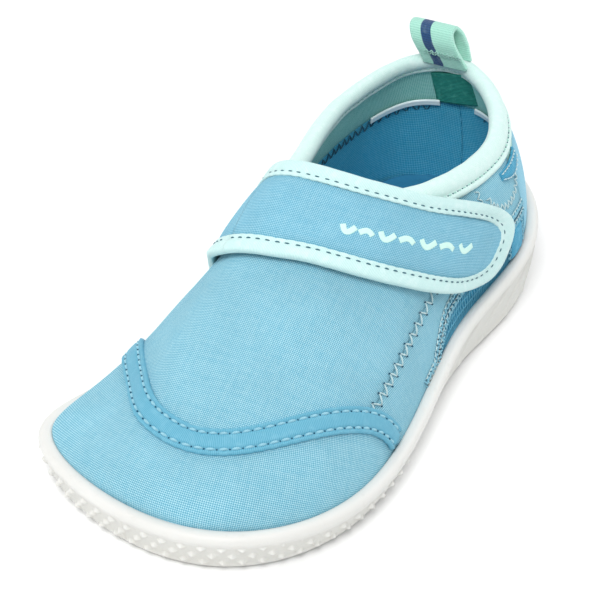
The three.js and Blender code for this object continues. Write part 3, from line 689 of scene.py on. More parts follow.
def ribbed(name, dark, base, light, pitch, depth, roughness, sheen, across=False, mottle=0.15,
           fine=0.35):
    """Tape or binding with fine ribs across its length (or along it)."""
    m = Nodes(name, roughness=roughness, sheen=sheen, sheen_tint=rgb(light), specular=0.35)
    flat, u, v = m.flat()
    run = v if across else u
    other = u if across else v
    wobble = m.math("MULTIPLY_ADD", m.noise(flat, 0.8, 2.0), 0.3, 0.0)
    rib = m.math("ABSOLUTE", m.sine(m.add(run, wobble), 2 * pitch))
    grain = m.math("ABSOLUTE", m.sine(other, fine))
    height = m.add(m.mul(rib, 0.75), m.mul(grain, 0.25))
    colour = m.blend(m.step(height, 0.15, 0.85), rgb(dark), rgb(base))
    spots = m.noise(flat, 0.5, 3.0)
    colour = m.blend(m.math("MULTIPLY", m.step(spots, 0.45, 0.75), mottle * 3), colour, rgb(light))
    # painted shade: darker where the attribute is high, near the panel's sewn edges
    colour = m.blend(m.math("MULTIPLY", m.painted_shade(), 0.25), colour, rgb(dark))
    return m.finish(colour, height, depth)


def thread(name, dark, base, sheen=0.2):
    """Twisted sewing thread."""
    m = Nodes(name, roughness=0.55, sheen=sheen, specular=0.4)
    _, u, v = m.flat()
    twist = m.sine(m.add(u, v), 0.45)
    colour = m.blend(m.math("MULTIPLY_ADD", twist, 0.4, 0.5), rgb(dark), rgb(base))
    return m.finish(colour, twist, 0.05)


def rubber():
    """White moulded sole: satin lip, faint mottling, grime low down and in the tread, painted shade
    on the wall under the lip.
    """
    m = Nodes("sole_rubber", roughness=0.42, specular=0.42, subsurface=0.12)
    where = m.solid()
    split = m.node("ShaderNodeSeparateXYZ")
    m.put(split.inputs[0], where)
    cloud = m.noise(where, 0.05, 3.0)
    fine = m.noise(where, 1.6, 3.0, 0.6)
    speck = m.noise(where, 0.45, 2.0)
    low = m.step(split.outputs[2], 8.0, 0.5)
    grime = m.mul(low, m.step(cloud, 0.3, 0.75))
    colour = m.blend(cloud, rgb("dddcd6"), rgb("e8e7e3"))
    # painted shade: the wall under the lip greyer, by the per-point attribute
    colour = m.blend(m.mul(m.painted_shade(), 0.75), colour, rgb("cfcec6"))
    colour = m.blend(m.mul(grime, 0.35), colour, rgb("cfccc0"))
    colour = m.blend(m.mul(m.step(speck, 0.62, 0.78), 0.12), colour, rgb("b9b6a8"))
    height = m.add(m.mul(fine, 0.5), m.mul(cloud, 0.5))
    rough = m.math("MULTIPLY_ADD", fine, 0.16, 0.38)
    rough = m.add(rough, m.mul(m.painted_shade(), 0.12))
    return m.finish(colour, height, 0.06, rough)


def moulded(name, base, light, roughness, depth=0.03, sheen=0.0, pit=1.2, coat=0.0):
    """Plain film, foam or smooth knit with fine grain."""
    m = Nodes(name, roughness=roughness, sheen=sheen, sheen_tint=rgb(light), coat=coat)
    where = m.solid()
    grain = m.noise(where, pit, 3.0, 0.6)
    cloud = m.noise(where, 0.08, 2.0)
    colour = m.blend(m.add(m.mul(grain, 0.5), m.mul(cloud, 0.5)), rgb(base), rgb(light))
    rough = m.math("MULTIPLY_ADD", grain, 0.15, roughness - 0.07)
    return m.finish(colour, grain, depth, rough)


def webbing():
    """Loop tape: mint with a navy stripe, dense ribs and lighter patches."""
    m = Nodes("loop_webbing", roughness=0.7, sheen=0.3, specular=0.3)
    flat, u, v = m.flat()
    height, _ = m.plain_weave(u, v, 0.55, 0.4)
    colour = m.blend(m.step(height, 0.3, 0.8), rgb("7fcab4"), rgb("b5ecd9"))
    stripe = m.mul(m.step(v, STRIPE[0] - 0.12, STRIPE[0] + 0.12),
                   m.step(v, STRIPE[1] + 0.12, STRIPE[1] - 0.12))
    navy = m.blend(m.step(height, 0.3, 0.8), rgb("0d2a4e"), rgb("214f80"))
    colour = m.blend(stripe, colour, navy)
    shaded_and_faded = m.noise(flat, 0.25, 3.0)
    colour = m.blend(m.mul(m.step(shaded_and_faded, 0.5, 0.8), 0.3), colour, rgb("d7f5ec"))
    return m.finish(colour, height, 0.16)


CANVAS = woven("canvas", "3a8fae", "73bbd3", "b4e0ea", 0.46, 0.46, 0.16)
STRAP_CANVAS = woven("strap_canvas", "3f93b2", "70b9d4", "a9dae9", 0.46, 0.46, 0.15)
COUNTER = woven("smooth_counter", "6db4cf", "86c6dd", "a2d6e7", 0.4, 0.4, 0.05, roughness=0.6)
LINING_BLUE = woven("lining_blue", "147fa6", "35aed6", "74cde6", 0.6, 0.5, 0.12, swell=0.12)
LINING_MINT = woven("lining_mint", "5bb5ab", "8fdacd", "c3f3ea", 0.5, 0.5, 0.12)
COLLAR_KNIT = ribbed("collar_knit", "bfe6dd", "def5f0", "f5fffd", 0.45, 0.05, 0.72, 0.35,
                     mottle=0.1)
BINDING = ribbed("strap_binding", "b3e2de", "d6f3f0", "f0fffd", 0.36, 0.07, 0.62, 0.35,
                 mottle=0.1)
HEEL_KNIT = ribbed("heel_knit", "a3dccd", "c9f0e5", "e9fdf7", 0.45, 0.06, 0.8, 0.3)
TAPE_BLUE = ribbed("seam_tape", "489cb8", "70b6ce", "9fd6e5", 0.42, 0.07, 0.5, 0.15,
                   mottle=0.06)
PATCH = ribbed("patch_tape", "2c86ac", "4cadcf", "86d0e6", 0.5, 0.09, 0.6, 0.2)
GREEN_TAPE = ribbed("green_tape", "176b62", "2f9d8c", "62c4b2", 0.5, 0.14, 0.8, 0.2)
NET = moulded("net_yarn", "3f97b8", "74bdd6", 0.6, 0.05, 0.2)
THREAD_BLUE = thread("thread_blue", "5fb4cf", "a8deec")
THREAD_SKY = thread("thread_sky", "7cc8de", "b9e8f4")
THREAD_TEAL = thread("thread_teal", "0f4a60", "25788f")
THREAD_PALE = thread("thread_pale", "b7dfe4", "e6f8f8")
THREAD_MINT = thread("thread_mint", "8fd0bf", "cdf5ea")
# Dark teal thread; its darkness partly stands for painted shade in the needle holes, and at the
# collar it is used for the holes' painted shade alone
DARK_THREAD_AND_HOLE_SHADE = thread("thread_dark_and_hole_shade", "1f5566", "3b7f8e")
# Needle holes: dark marks that are painted shade in the holes
NEEDLE_HOLE_SHADE = moulded("needle_hole", "0e3f58", "1c5c78", 0.9)
FOAM = moulded("footbed_foam", "1f6f95", "3a93b8", 0.85, 0.12, 0.15)
HOOK = moulded("hook_nylon", "c9dcdc", "e6f2f1", 0.6, 0.08)
LOOP_PILE = moulded("loop_pile", "6fb2cc", "9ad0e2", 0.95, 0.2, 0.4)
# seam film: its near-white colour is a painted reflection on a clear film; low roughness and coat
# give real gloss too
FILM_WITH_PAINTED_REFLECTION = moulded("seam_film", "def4f8", "ffffff", 0.16, 0.02, coat=0.4)
PRINT = moulded("print_ink", "c4efe3", "dcf9f0", 0.45, 0.02)
RUBBER = rubber()
WEBBING = webbing()
BOARD = moulded("board_fibre", "d4d6cf", "eceee8", 0.9, 0.1)


# ---------------------------------------------------------------- paths and sewing
def path_of(curve, off, w=0.0, span=(0.0, 1.0)):
    """A curve on the last as points, outward normals and running length, in millimetres."""
    f = np.linspace(*span, 600)
    t, a = curve(f)
    k, angle = unfold(t, a)
    if w:
        k, angle = beside(k, angle, np.gradient(k, f), np.gradient(angle, f), w)
    N = last_normal(np.abs(k), angle)
    return trail(last(np.abs(k), angle) + N * off, N)


def trail(P, N):
    return {"P": P, "N": N, "S": run_length(P)}


def on_trail(path, s):
    """Point, tangent, normal and side direction at lengths s."""
    s = np.asarray(s, float)
    at = lambda A, x: np.stack([np.interp(x, path["S"], A[:, c]) for c in range(3)], -1)
    P = at(path["P"], s)
    T = unit(at(path["P"], s + 0.15) - at(path["P"], s - 0.15))
    N = unit(at(path["N"], s))
    return P, T, N, np.cross(T, N)


def threads(name, starts, ends, normals, radius, material, arch=0.35, sides=6, rings=6):
    """Short lengths of thread from start to end, each arched and dipping into the cloth."""
    starts, ends, normals = (np.asarray(x, float) for x in (starts, ends, normals))
    f = np.linspace(0, 1, rings)
    phi = np.arange(sides) / sides * 2 * PI
    T = unit(ends - starts)
    N = unit(normals - T * (normals * T).sum(-1, keepdims=True))
    B = np.cross(T, N)
    lift = (np.sin(PI * f) ** 0.7 * (arch + 1) - 1) * radius
    thick = radius * np.clip(np.sin(PI * np.clip(f, 0.04, 0.96)) ** 0.35, 0.2, 1)
    centre = (starts[:, None] + (ends - starts)[:, None] * f[None, :, None]
              + N[:, None] * lift[None, :, None])
    across = (B[:, None, None] * np.cos(phi)[None, None, :, None]
              + N[:, None, None] * np.sin(phi)[None, None, :, None])
    P = centre[:, :, None] + across * thick[None, :, None, None]
    faces, corners = grid_faces(rings, sides, wrap_j=True)
    ends_of_thread = (np.arange(sides), np.arange(sides) + (rings - 1) * sides)
    all_faces, all_uv = [], []
    for i, length in enumerate(np.linalg.norm(ends - starts, axis=1)):
        base = i * rings * sides
        all_faces.extend((faces + base).tolist())
        uv = np.stack([corners[..., 0] / (rings - 1) * length,
                       corners[..., 1] / sides * 2 * PI * radius], -1)
        all_uv.append(uv.reshape(-1, 2))
        for cap in ends_of_thread:
            all_faces.append((cap + base).tolist())
            all_uv.append(np.zeros((sides, 2)))
    return face_outwards(make(name, P, all_faces, np.concatenate(all_uv), material))


def running(name, path, pitch, share, radius, material, side=0.0, start=0.0, jitter=0.12,
            seed=3):
    """A row of stitches along a path."""
    rng = np.random.default_rng(seed)
    count = max(int((path["S"][-1] - start) / pitch), 1)
    s = start + (np.arange(count) + 0.5) * pitch + rng.uniform(-jitter, jitter, count) * pitch * 0.4
    half = pitch * share / 2
    A, _, N, B = on_trail(path, s - half)
    C, _, _, B2 = on_trail(path, s + half)
    sway = rng.uniform(-jitter, jitter, (count, 1)) * radius
    return threads(name, A + B * (side + sway), C + B2 * (side - sway), N, radius, material)


def zigzag(name, path, pitch, width, radius, material, seed=5):
    """A zigzag of stitches along a path."""
    rng = np.random.default_rng(seed)
    count = max(int(path["S"][-1] / (pitch / 2)), 2)
    s = np.arange(count + 1) * pitch / 2
    P, T, N, B = on_trail(path, s)
    side = np.where(np.arange(count + 1) % 2 == 0, 1, -1)[:, None] * width / 2
    side = side * (1 + rng.uniform(-0.1, 0.1, (count + 1, 1)))
    P = P + B * side + T * rng.uniform(-0.1, 0.1, (count + 1, 1)) * pitch
    return threads(name, P[:-1], P[1:], N[:-1], radius, material, arch=0.5, rings=8)


def together(name, parts, body="shoe", slot="blue_tape", *nodes):
    """Joins several meshes into one piece that rides on a body."""
    pick(*parts)
    if len(parts) > 1:
        bpy.ops.object.join()
    parts[0].name = name
    parts[0].data.name = name
    if body:
        own(parts[0], body, slot, *nodes)
    return parts[0]


def band(name, path, width, high, low, material, puff=0.0, seams=(), wave=0.0, rows=17,
         spacing=0.8):
    """A flat tape laid along a path: section from edge to edge, dipping at its seams."""
    length = path["S"][-1]
    n = max(int(length / spacing), 2)
    s = np.linspace(0, length, n + 1)
    P, _, N, B = on_trail(path, s)
    w = np.linspace(-1, 1, rows)
    half = width / 2
    top = np.full(rows, high) + puff * (1 - w**2)
    for place_at, depth in seams:
        top = top - depth * np.exp(-((w * half - place_at) / 0.42) ** 2)
    top = top - (high - low) * 0.55 * np.clip((np.abs(w) - 0.93) / 0.07, 0, 1) ** 2
    frill = wave * np.sin(2 * PI * s / 2.6)[:, None]
    side = w[None, :] * half + frill * (np.abs(w)[None, :] ** 6) * np.sign(w)[None, :]
    rise = np.repeat(top[None, :], n + 1, 0) + 0.05 * ripple(P, 7.0, 11)[:, None]
    upper = P[:, None] + B[:, None] * side[..., None] + N[:, None] * rise[..., None]
    under = P[:, None] + B[:, None] * side[..., None] + N[:, None] * low
    ring_points = np.concatenate([upper, under[:, ::-1]], 1)
    m = ring_points.shape[1]
    across = np.concatenate([w * half, (w * half)[::-1] + width])
    uv = np.zeros((n + 1, m + 1, 2))
    uv[..., 0] = s[:, None]
    uv[:, :m, 1] = across
    uv[:, m, 1] = across[-1] + 0.5
    return loft(name, ring_points, uv, material)


# ---------------------------------------------------------------- outer panels of the upper
def rib_rows(knots, v):
    return np.interp(v, np.linspace(0, 1, len(knots)), knots)


def toe_at(u, v):
    a = np.interp(v, [0, 0.05, 0.95, 1], [-TUCK, 0, PI, PI + TUCK])
    return mix(toe_seam(np.clip(a, 0, PI)) + 0.015, TOE - 0.002, 1 - (1 - u) ** 1.15), a


throat_low = float(mouth_angle(SPLIT))
throat_high = PI - float(mouth_angle(-SPLIT))


def vamp_start(a):
    inside = (a > throat_low) & (a < throat_high)
    return np.where(inside, np.maximum(throat_station(a), SPLIT), SPLIT)


VAMP_ROWS = [-TUCK, 0, *np.linspace(0, throat_low, 5)[1:],
             *np.linspace(throat_low, throat_high, 13)[1:],
             *np.linspace(throat_high, ZIGZAG * PI, 4)[1:]]


def vamp_at(u, v):
    a = rib_rows(VAMP_ROWS, v)
    return mix(vamp_start(a), toe_seam(np.clip(a, 0, PI)), u), a


def side_at(u, v):
    low = ZIGZAG * PI
    full = np.interp(v, [0, 0.8, 1], [low, PI, PI + TUCK])
    k = mix(SPLIT, toe_seam(np.minimum(full, PI)), u)
    top = np.minimum(drain_edge(k), PI + TUCK)
    return k, np.where(top > PI + TUCK - 1e-6, full, mix(low, top, v))


def drain_at(u, v):
    k = mix(COUNTER_END, 3.88, u)
    top = np.minimum(drain_edge(k), PI + TUCK - 0.02)
    return k, mix(top, PI + TUCK, v)


def side_rib(v, top):
    return np.where(v < 0.15, mix(-TUCK, 0, v / 0.15), mix(0, top, (v - 0.15) / 0.85))


def counter_at(u, v):
    t = mix(-COUNTER_END, COUNTER_END, u)
    return t, np.where(v < 0.2, mix(-TUCK, 0, v / 0.2), mix(0, counter_top(t), (v - 0.2) / 0.8))


def heel_top_at(u, v):
    t = mix(-COUNTER_END, COUNTER_END, u)
    return t, mix(counter_top(t), mouth_angle(t), v)


def medial_at(u, v):
    k = mix(COUNTER_END, SPLIT, u)
    return k, side_rib(v, mouth_angle(k))


def lateral_at(u, v):
    t = mix(-SPLIT, -COUNTER_END, u)
    return t, mix(PI - drain_edge(-t), mouth_angle(t), v)


def cover(name, nu, nv, at, material, slot, node, **shape):
    """An outer panel that stands for one CAD node."""
    return own(sheet(name, nu, nv, at, 0, UPPER, material, **shape), "shoe", slot, node)


cover("toe_canvas", 64, 150, toe_at, CANVAS, "sky_canvas", "toe_panel",
      dips=(0.35, 0, 0, 0), swell=0.22, seed=2, reach=3.0, trim=0.0)
cover("vamp_canvas", 96, 150, vamp_at, CANVAS, "sky_canvas", "vamp_panel",
      dips=(0, 0.35, 0, 0.3), swell=0.3, seed=3, reach=2.2)
cover("side_canvas", 90, 36, side_at, CANVAS, "sky_canvas", "lateral_side_panel",
      dips=(0, 0.35, 0.3, 0.2), swell=0.15, seed=4)
cover("medial_canvas", 60, 60, medial_at, CANVAS, "sky_canvas", "medial_quarter",
      dips=(0.3, 0.3, 0, 0), swell=0.2, seed=5)
cover("lateral_canvas", 70, 50, lateral_at, CANVAS, "sky_canvas", "lateral_quarter",
      dips=(0.3, 0.3, 0.25, 0), swell=0.15, seed=6)
cover("heel_counter_cover", 160, 44, counter_at, COUNTER, "sky_smooth", "heel_counter",
      dips=(0.3, 0.3, 0, 0.35), swell=0.12, seed=7)
cover("heel_pad", 160, 26, heel_top_at, HEEL_KNIT, "mint_binding", "heel_top_panel",
                dips=(0.3, 0.3, 0.35, 0), swell=0.15, seed=8, crown=0.5)


# ---------------------------------------------------------------- drain net over a dark backing
def drain_net():
    backing = sheet("drain_backing", 60, 10, drain_at, -0.9, 0.3, LINING_BLUE)
    nu, nv = 54, 7
    u, v = unit_grid(nu, nv)
    shift_row = np.where(np.arange(nv + 1) % 2 == 0, 0.25, -0.25) / nu
    inside = (np.arange(nu + 1) > 0) & (np.arange(nu + 1) < nu)
    t, a = drain_at(u + shift_row[None, :] * inside[:, None], v)
    P = place(t, a, np.full(u.shape, -0.25))
    net = make("drain_net_yarns", P, grid_faces(nu + 1, nv + 1)[0], material=NET)
    wire = net.modifiers.new("yarns", "WIREFRAME")
    wire.thickness = 0.5 * MM
    wire.use_even_offset = False
    wire.use_boundary = True
    apply_all(net)
    apply_all(backing)
    together("drain_net", [net, backing], "shoe", "blue_tape", "drain_mesh")


drain_net()


# ---------------------------------------------------------------- linings
def forefoot_at(u, v):
    a = rib_rows([*VAMP_ROWS, 0.93 * PI, PI, PI + TUCK], v)
    return mix(vamp_start(a), TOE - 0.16, u), a


def low_lining(sign):
    def at(u, v):
        t = sign * mix(1e-6, SPLIT, u)
        low = mix(-TUCK, 0, v / 0.2)
        return t, np.where(v < 0.2, low, mix(0, lining_top(t), (v - 0.2) / 0.8))
    return at


def collar_lining_at(u, v):
    t = mix(-SPLIT, SPLIT, u)
    return t, mix(lining_top(t), mouth_angle(t), v)


def lining(name, nu, nv, at, material, slot, node, **shape):
    """An inner panel that stands for one CAD node."""
    own(sheet(name, nu, nv, at, LIN_LOW, LINING, material, inward=True, **shape), "shoe", slot, node)


lining("forefoot_lining_cloth", 70, 90, forefoot_at, LINING_BLUE, "blue_lining",
       "forefoot_lining", swell=0.2, seed=12)
lining("medial_lining_cloth", 90, 40, low_lining(1), LINING_BLUE, "blue_lining",
       "medial_lining", swell=0.3, seed=13, dips=(0, 0.2, 0, 0.2))
lining("lateral_lining_cloth", 90, 40, low_lining(-1), LINING_BLUE, "blue_lining",
       "lateral_lining", swell=0.3, seed=14, dips=(0, 0.2, 0, 0.2))
lining("collar_lining_cloth", 200, 24, collar_lining_at, LINING_MINT, "mint_lining",
       "collar_lining", swell=0.2, seed=15, dips=(0, 0, 0.2, 0))


def inward(path):
    return trail(path["P"], -path["N"])


def lining_edge(sign, low, high, share, above=0.0):
    """A curve along the lining's top edge on one side, at a share of its height."""
    def curve(f):
        t = sign * mix(low, high, f)
        return t, lining_top(t) * share + above
    return curve


HEEL = 0.001  # a station just beside the heel's middle
heel_tape_path = path_of(at_station(1e-4, lining_top(HEEL) + 0.02, mouth_angle(HEEL) - 0.07),
                         LIN_LOW - 0.3)
own(band("heel_tape", inward(heel_tape_path), 13.0, 0.6, 0.0, GREEN_TAPE, puff=0.1,
         seams=((-5.2, 0.3), (5.2, 0.3)), spacing=0.5), "shoe", "green_tape", "heel_inner_tape")
for side_name, sign in (("medial", 1), ("lateral", -1)):
    seam_path = path_of(lining_edge(sign, 0.34, 1.75, 1, 0.0025), LIN_LOW - 0.3)
    own(band(side_name + "_film", inward(seam_path), 1.9, 0.4, 0.0, FILM_WITH_PAINTED_REFLECTION, puff=0.25,
             seams=((0.0, 0.12),)), "shoe", "seam_film", side_name + "_seam_tape")
    row = inward(path_of(lining_edge(sign, 0.5, 3.1, 0.9), LIN_LOW - 0.08))
    together(side_name + "_lining_stitches",
             [zigzag(side_name + "_row", row, 3.0, 2.8, STITCH, THREAD_TEAL, seed=20)])


# ---------------------------------------------------------------- seams on the outside
TOE_TAPE_SHIFT = -0.7
TOE_TAPE_ROW = 1.95
TOE_PITCH = 2.75


def toe_curve(f):
    a = mix(0.012, 0.985, f) * PI
    return toe_seam(a), a


own(band("toe_tape", path_of(toe_curve, 0.0, w=TOE_TAPE_SHIFT), 6.4, 0.95, -0.15, TAPE_BLUE,
         puff=0.2, seams=((-TOE_TAPE_ROW, 0.42), (TOE_TAPE_ROW, 0.42)), spacing=0.45, rows=33,
         wave=0.06), "shoe", "blue_tape", "toe_seam_tape")
toe_top = path_of(toe_curve, 0.76, w=TOE_TAPE_SHIFT)
toe_rows, toe_holes = [], []
for n, side in enumerate((-TOE_TAPE_ROW, TOE_TAPE_ROW)):
    toe_rows.append(running(f"toe_row_{n}", toe_top, TOE_PITCH, 0.8, 0.36, THREAD_SKY, side=side,
                            seed=30 + n))
    # needle holes: dark painted shade at the stitches' ends
    toe_holes.append(running(f"toe_holes_{n}", toe_top, TOE_PITCH, 0.15, 0.22, NEEDLE_HOLE_SHADE,
                             side=side + 0.1, start=TOE_PITCH / 2, jitter=0.0, seed=30 + n))
together("toe_tape_stitches", toe_rows)
together("toe_tape_needle_holes", toe_holes)


def zigzag_curve(f):
    return mix(3.3, 4.72, f), np.full_like(f, ZIGZAG * PI)


zig_path = path_of(zigzag_curve, 0.1)
together("vamp_zigzag", [
    zigzag("zig_a", zig_path, 3.4, 2.7, 0.23, THREAD_PALE, seed=40),
    # needle holes: dark painted shade beside the zigzag
    running("zig_holes_a", zig_path, 3.4, 0.12, 0.22, NEEDLE_HOLE_SHADE, side=1.35, start=-1.7, jitter=0,
            seed=41),
    running("zig_holes_b", zig_path, 3.4, 0.12, 0.22, NEEDLE_HOLE_SHADE, side=-1.35, jitter=0, seed=41),
])


def drain_curve(f):
    k = mix(1.92, 3.9, f)
    return k, np.minimum(drain_edge(k), PI - 0.01)


overlock = []
for n, (side, wide) in enumerate(((-1.7, 2.0), (1.0, 1.7))):
    row = path_of(drain_curve, 0.22, w=side)
    overlock.append(zigzag(f"over_{n}", row, 1.7, wide, 0.3, THREAD_BLUE, seed=50 + n))
    overlock.append(running(f"over_line_{n}", row, 1.5, 0.9, STITCH, THREAD_PALE, side=wide / 2,
                            seed=55 + n))
together("drain_overlock", overlock)


def patch_top(f):
    t = mix(-2.17, -1.71, f)
    return t, mouth_angle(t) - 0.125


def patch_at(u, v):
    t, top = patch_top(u)
    return t, mix(top - 0.035 - 0.03 * np.sin(PI * u), top, v)


def patch_head(f):
    t, top = patch_top(f)
    return t, top - 0.006


def patch_edge(f):
    t, top = patch_top(f)
    return t, top - 0.03 - 0.03 * np.sin(PI * f)


def half_round(f):
    """The zigzag under the patch sags from one side of it to the other."""
    turn = PI * (0.04 + 0.92 * f)
    return -2.16 - 0.3 * np.cos(turn), 0.405 - 0.125 * np.sin(turn) - 0.05 * f


def tab_at(u, v):
    return mix(-2.3, -2.06, u), mix(0.015, 0.13, v)


own(sheet("heel_patch_tape", 40, 20, patch_at, 0.85, 0.6, PATCH, dips=(0.2, 0.2, 0.3, 0.3),
          reach=0.8, swell=0.2, seed=60), "shoe", "blue_tape", "heel_patch")
together("heel_patch_stitches", [
    zigzag("patch_zig", path_of(half_round, 0.12), 2.2, 2.1, STITCH, THREAD_PALE, seed=61),
    zigzag("patch_short", path_of(at_station(-2.56, 0.47, 0.36), 0.12), 2.2, 2.0, STITCH,
           THREAD_PALE, seed=67),
    running("patch_top_row", path_of(patch_head, 0.92), 1.5, 0.7, 0.22, THREAD_PALE, seed=62),
    running("patch_low_row", path_of(patch_edge, 0.92), 1.7, 0.7, STITCH, THREAD_PALE, seed=63),
])
own(sheet("drain_tab_tape", 16, 24, tab_at, 0.95, 0.65, PATCH, dips=(0.25, 0.25, 0, 0.25),
          reach=0.7, swell=0.2, seed=64), "shoe", "blue_tape", "drain_tab")
together("drain_tab_stitches", [
    zigzag(f"tab_{seed}", path_of(at_station(t, 0.02, 0.13), 0.6), 1.5, 1.6, 0.22, THREAD_BLUE,
           seed=seed)
    for t, seed in ((-2.32, 65), (-2.04, 66))
])


def heel_seam(f):
    t = mix(1.85, -0.68, f)
    return t, counter_top(t)


counter_seam = at_station(COUNTER_END, 0.02, mouth_angle(COUNTER_END) - 0.1)
quarter_seam = at_station(SPLIT, 0.02, throat_low - 0.1)
together("side_seam_zigzags", [
    zigzag(f"side_seam_{seed}", path_of(curve, 0.1, span=(0.0, part)), 2.8, 2.2, STITCH,
           THREAD_PALE, seed=seed)
    for curve, part, seed in ((counter_seam, 1.0, 70), (quarter_seam, 1.0, 72),
                              (heel_seam, 0.7, 73))
])


# ---------------------------------------------------------------- padded collar
SIM_SCALE = 20.0  # the cloth solver works on a model this many times the real size
SIM_FRAMES = 20
SIM_PRESSURE = 40.0


def move_to(mesh, points):
    mesh.vertices.foreach_set("co", points.astype(np.float32).ravel())
    mesh.update()


def swell_up(obj, held, limit):
    """Cloth simulation with pressure inside: the padding swells between its stitches."""
    mesh = obj.data
    before = read(mesh.vertices, "co", 3)
    move_to(mesh, before * SIM_SCALE)
    group = obj.vertex_groups.new(name="sewn_down")
    group.add(held, 1.0, "REPLACE")
    cloth = obj.modifiers.new("padding", "CLOTH")
    cloth.settings.use_pressure = True
    cloth.settings.uniform_pressure_force = SIM_PRESSURE
    cloth.settings.vertex_group_mass = "sewn_down"
    cloth.settings.effector_weights.gravity = 0
    cloth.settings.quality = 4
    cloth.collision_settings.use_collision = False
    cloth.point_cache.frame_start = 1
    cloth.point_cache.frame_end = SIM_FRAMES
    scene = bpy.context.scene
    for step in range(1, SIM_FRAMES + 1):
        scene.frame_set(step)
    graph = bpy.context.evaluated_depsgraph_get()
    after = read(obj.evaluated_get(graph).data.vertices, "co", 3) / SIM_SCALE
    obj.modifiers.remove(cloth)
    obj.vertex_groups.remove(group)
    scene.frame_set(1)
    move = (after - before) / MM
    size = np.linalg.norm(move, axis=1, keepdims=True)
    move = move * np.minimum(limit / np.maximum(size, 1e-9), 1)
    move_to(mesh, before + move * MM)


def rounded(points, count):
    """A smooth closed curve through the points, evenly resampled."""
    x = controls_through([p[0] for p in points])
    y = controls_through([p[1] for p in points])
    t = np.linspace(0, len(points), 1601)[:-1]
    X, Y = closed_spline(x, t), closed_spline(y, t)
    X, Y = np.append(X, X[0]), np.append(Y, Y[0])
    s = run_length(np.stack([X, Y], -1))
    at = np.linspace(0, s[-1], count, endpoint=False)
    return np.interp(at, s, X), np.interp(at, s, Y)


def collar_point(s, w, off):
    """w millimetres outside the mouth's edge and off from the last, at mouth parameter s."""
    h = 0.02
    k, a = mouth_at(s)
    k1, a1 = open_mouth(s + h)
    k0, a0 = open_mouth(s - h)
    kk, aa = beside(np.maximum(k, 1e-4), a, k1 - k0, a1 - a0, w)
    angle = np.where(kk < 0, PI - aa, aa)
    kk = np.abs(kk)
    return last(kk, angle) + last_normal(kk, angle) * off[..., None]


def open_mouth(s):
    """The mouth's edge with a smooth run through the heel, where the station turns back."""
    s = np.asarray(s, float)
    wrapped = np.where(s < 0, -s, np.where(s > MOUTH_SPANS, 2 * MOUTH_SPANS - s, s))
    k, a = mouth_at(np.clip(wrapped, 0, MOUTH_SPANS - 1e-9))
    over = (s < 0) | (s > MOUTH_SPANS)
    return np.where(over, -k, k), a


COLLAR_SEAM_IN = 2.4  # the inner stitch line's distance from the mouth's edge


def collar():
    W = COLLAR_WIDTH
    seam_out = W - 1.7
    section = [
        (W + 0.3, 0.15), (W + 0.1, 0.7), (W - 1.0, 1.15), (3.2, 1.2), (1.8, 1.35), (0.5, 1.2),
        (-0.7, 0.5), (-1.35, -0.5), (-1.4, -1.7), (-0.7, -2.6), (0.6, -3.1), (2.0, -3.15),
        (3.3, -2.95), (3.5, -2.6), (2.4, -2.5), (0.8, -2.45), (0.2, -1.2), (0.8, 0.1), (3.2, 0.1),
    ]
    w, off = rounded(section, 56)
    sewn_off = off - np.where(off > 0.5, 0.45 * np.exp(-((w - seam_out) / 0.5) ** 2), 0)
    sewn_off += np.where(sewn_off < -2.8, 0.3 * np.exp(-((w - COLLAR_SEAM_IN) / 0.45) ** 2), 0)
    n = 420
    s = np.arange(n) / n * MOUTH_SPANS
    S, across = np.meshgrid(s, w, indexing="ij")
    P = collar_point(S, across, np.repeat(sewn_off[None, :], n, 0))
    P = P + unit(P - P.mean(1, keepdims=True)) * (0.12 * ripple(P, 9.0, 80))[..., None]
    along = run_length(np.concatenate([P[:, 0], P[:1, 0]]))
    round_section = np.linspace(0, 26.0, len(w) + 1)
    uv = np.stack(np.meshgrid(along, round_section, indexing="ij"), -1)
    body = loft("collar_roll", P, uv, COLLAR_KNIT, wrap=True)
    lines = [int(np.argmin(np.hypot(w - seam_out, off - 1.1))),
             int(np.argmin(np.hypot(w - COLLAR_SEAM_IN, off + 3.0)))]
    hidden = [j for j in range(len(w)) if -2.6 < off[j] < 0.2 and w[j] > -0.3]
    held = [i * len(w) + j for i in range(n) for j in hidden]
    held += [i * len(w) + j for i in range(0, n, 4) for j in lines]
    swell_up(body, held, 0.9)
    own(body, "shoe", "mint_binding", "collar_binding")

    def row(w_at, off_at, inside):
        s = np.linspace(0, MOUTH_SPANS, 1600)
        P = collar_point(s, np.full_like(s, w_at), np.full_like(s, off_at))
        k, a = mouth_at(np.clip(s, 1e-4, MOUTH_SPANS - 1e-4))
        N = last_normal(k, a)
        return trail(P, -N if inside else N)

    pitch = 2.3
    together("collar_stitches", [
        running("collar_row_out", row(seam_out, 0.9, False), pitch, 0.62, STITCH, THREAD_MINT,
                seed=81),
        running("collar_row_in", row(COLLAR_SEAM_IN, -2.85, True), pitch, 0.62, STITCH,
                THREAD_MINT, seed=82),
    ], "shoe", "mint_binding")
    # needle holes: dark painted shade between the outer stitches
    together("collar_needle_holes", [
        running("collar_holes_out", row(seam_out, 0.86, False), pitch, 0.28, 0.17, DARK_THREAD_AND_HOLE_SHADE,
                start=pitch / 2, jitter=0.0, seed=81),
    ], "shoe", "mint_binding")


collar()


# ---------------------------------------------------------------- strap
def strap_drop(s, v):
    """The strap settles towards the upper where no collar lies beneath it."""
    return 0.4 * (1 - smooth(v, 0.1, 0.62)) + 1.1 * (1 - smooth(s, 0.08, 0.25))


RAIL_SHARE = BIND_SHARE - 0.006
INSET = 1.08 * RAIL_SHARE
TURN = 0.85
ROUNDING = 2 / 3.3
CANVAS_WIDTH = 21  # of the strap's cloth between its bindings
RIPPLE_SIZE = 20.0
RIPPLE_SEED = 90


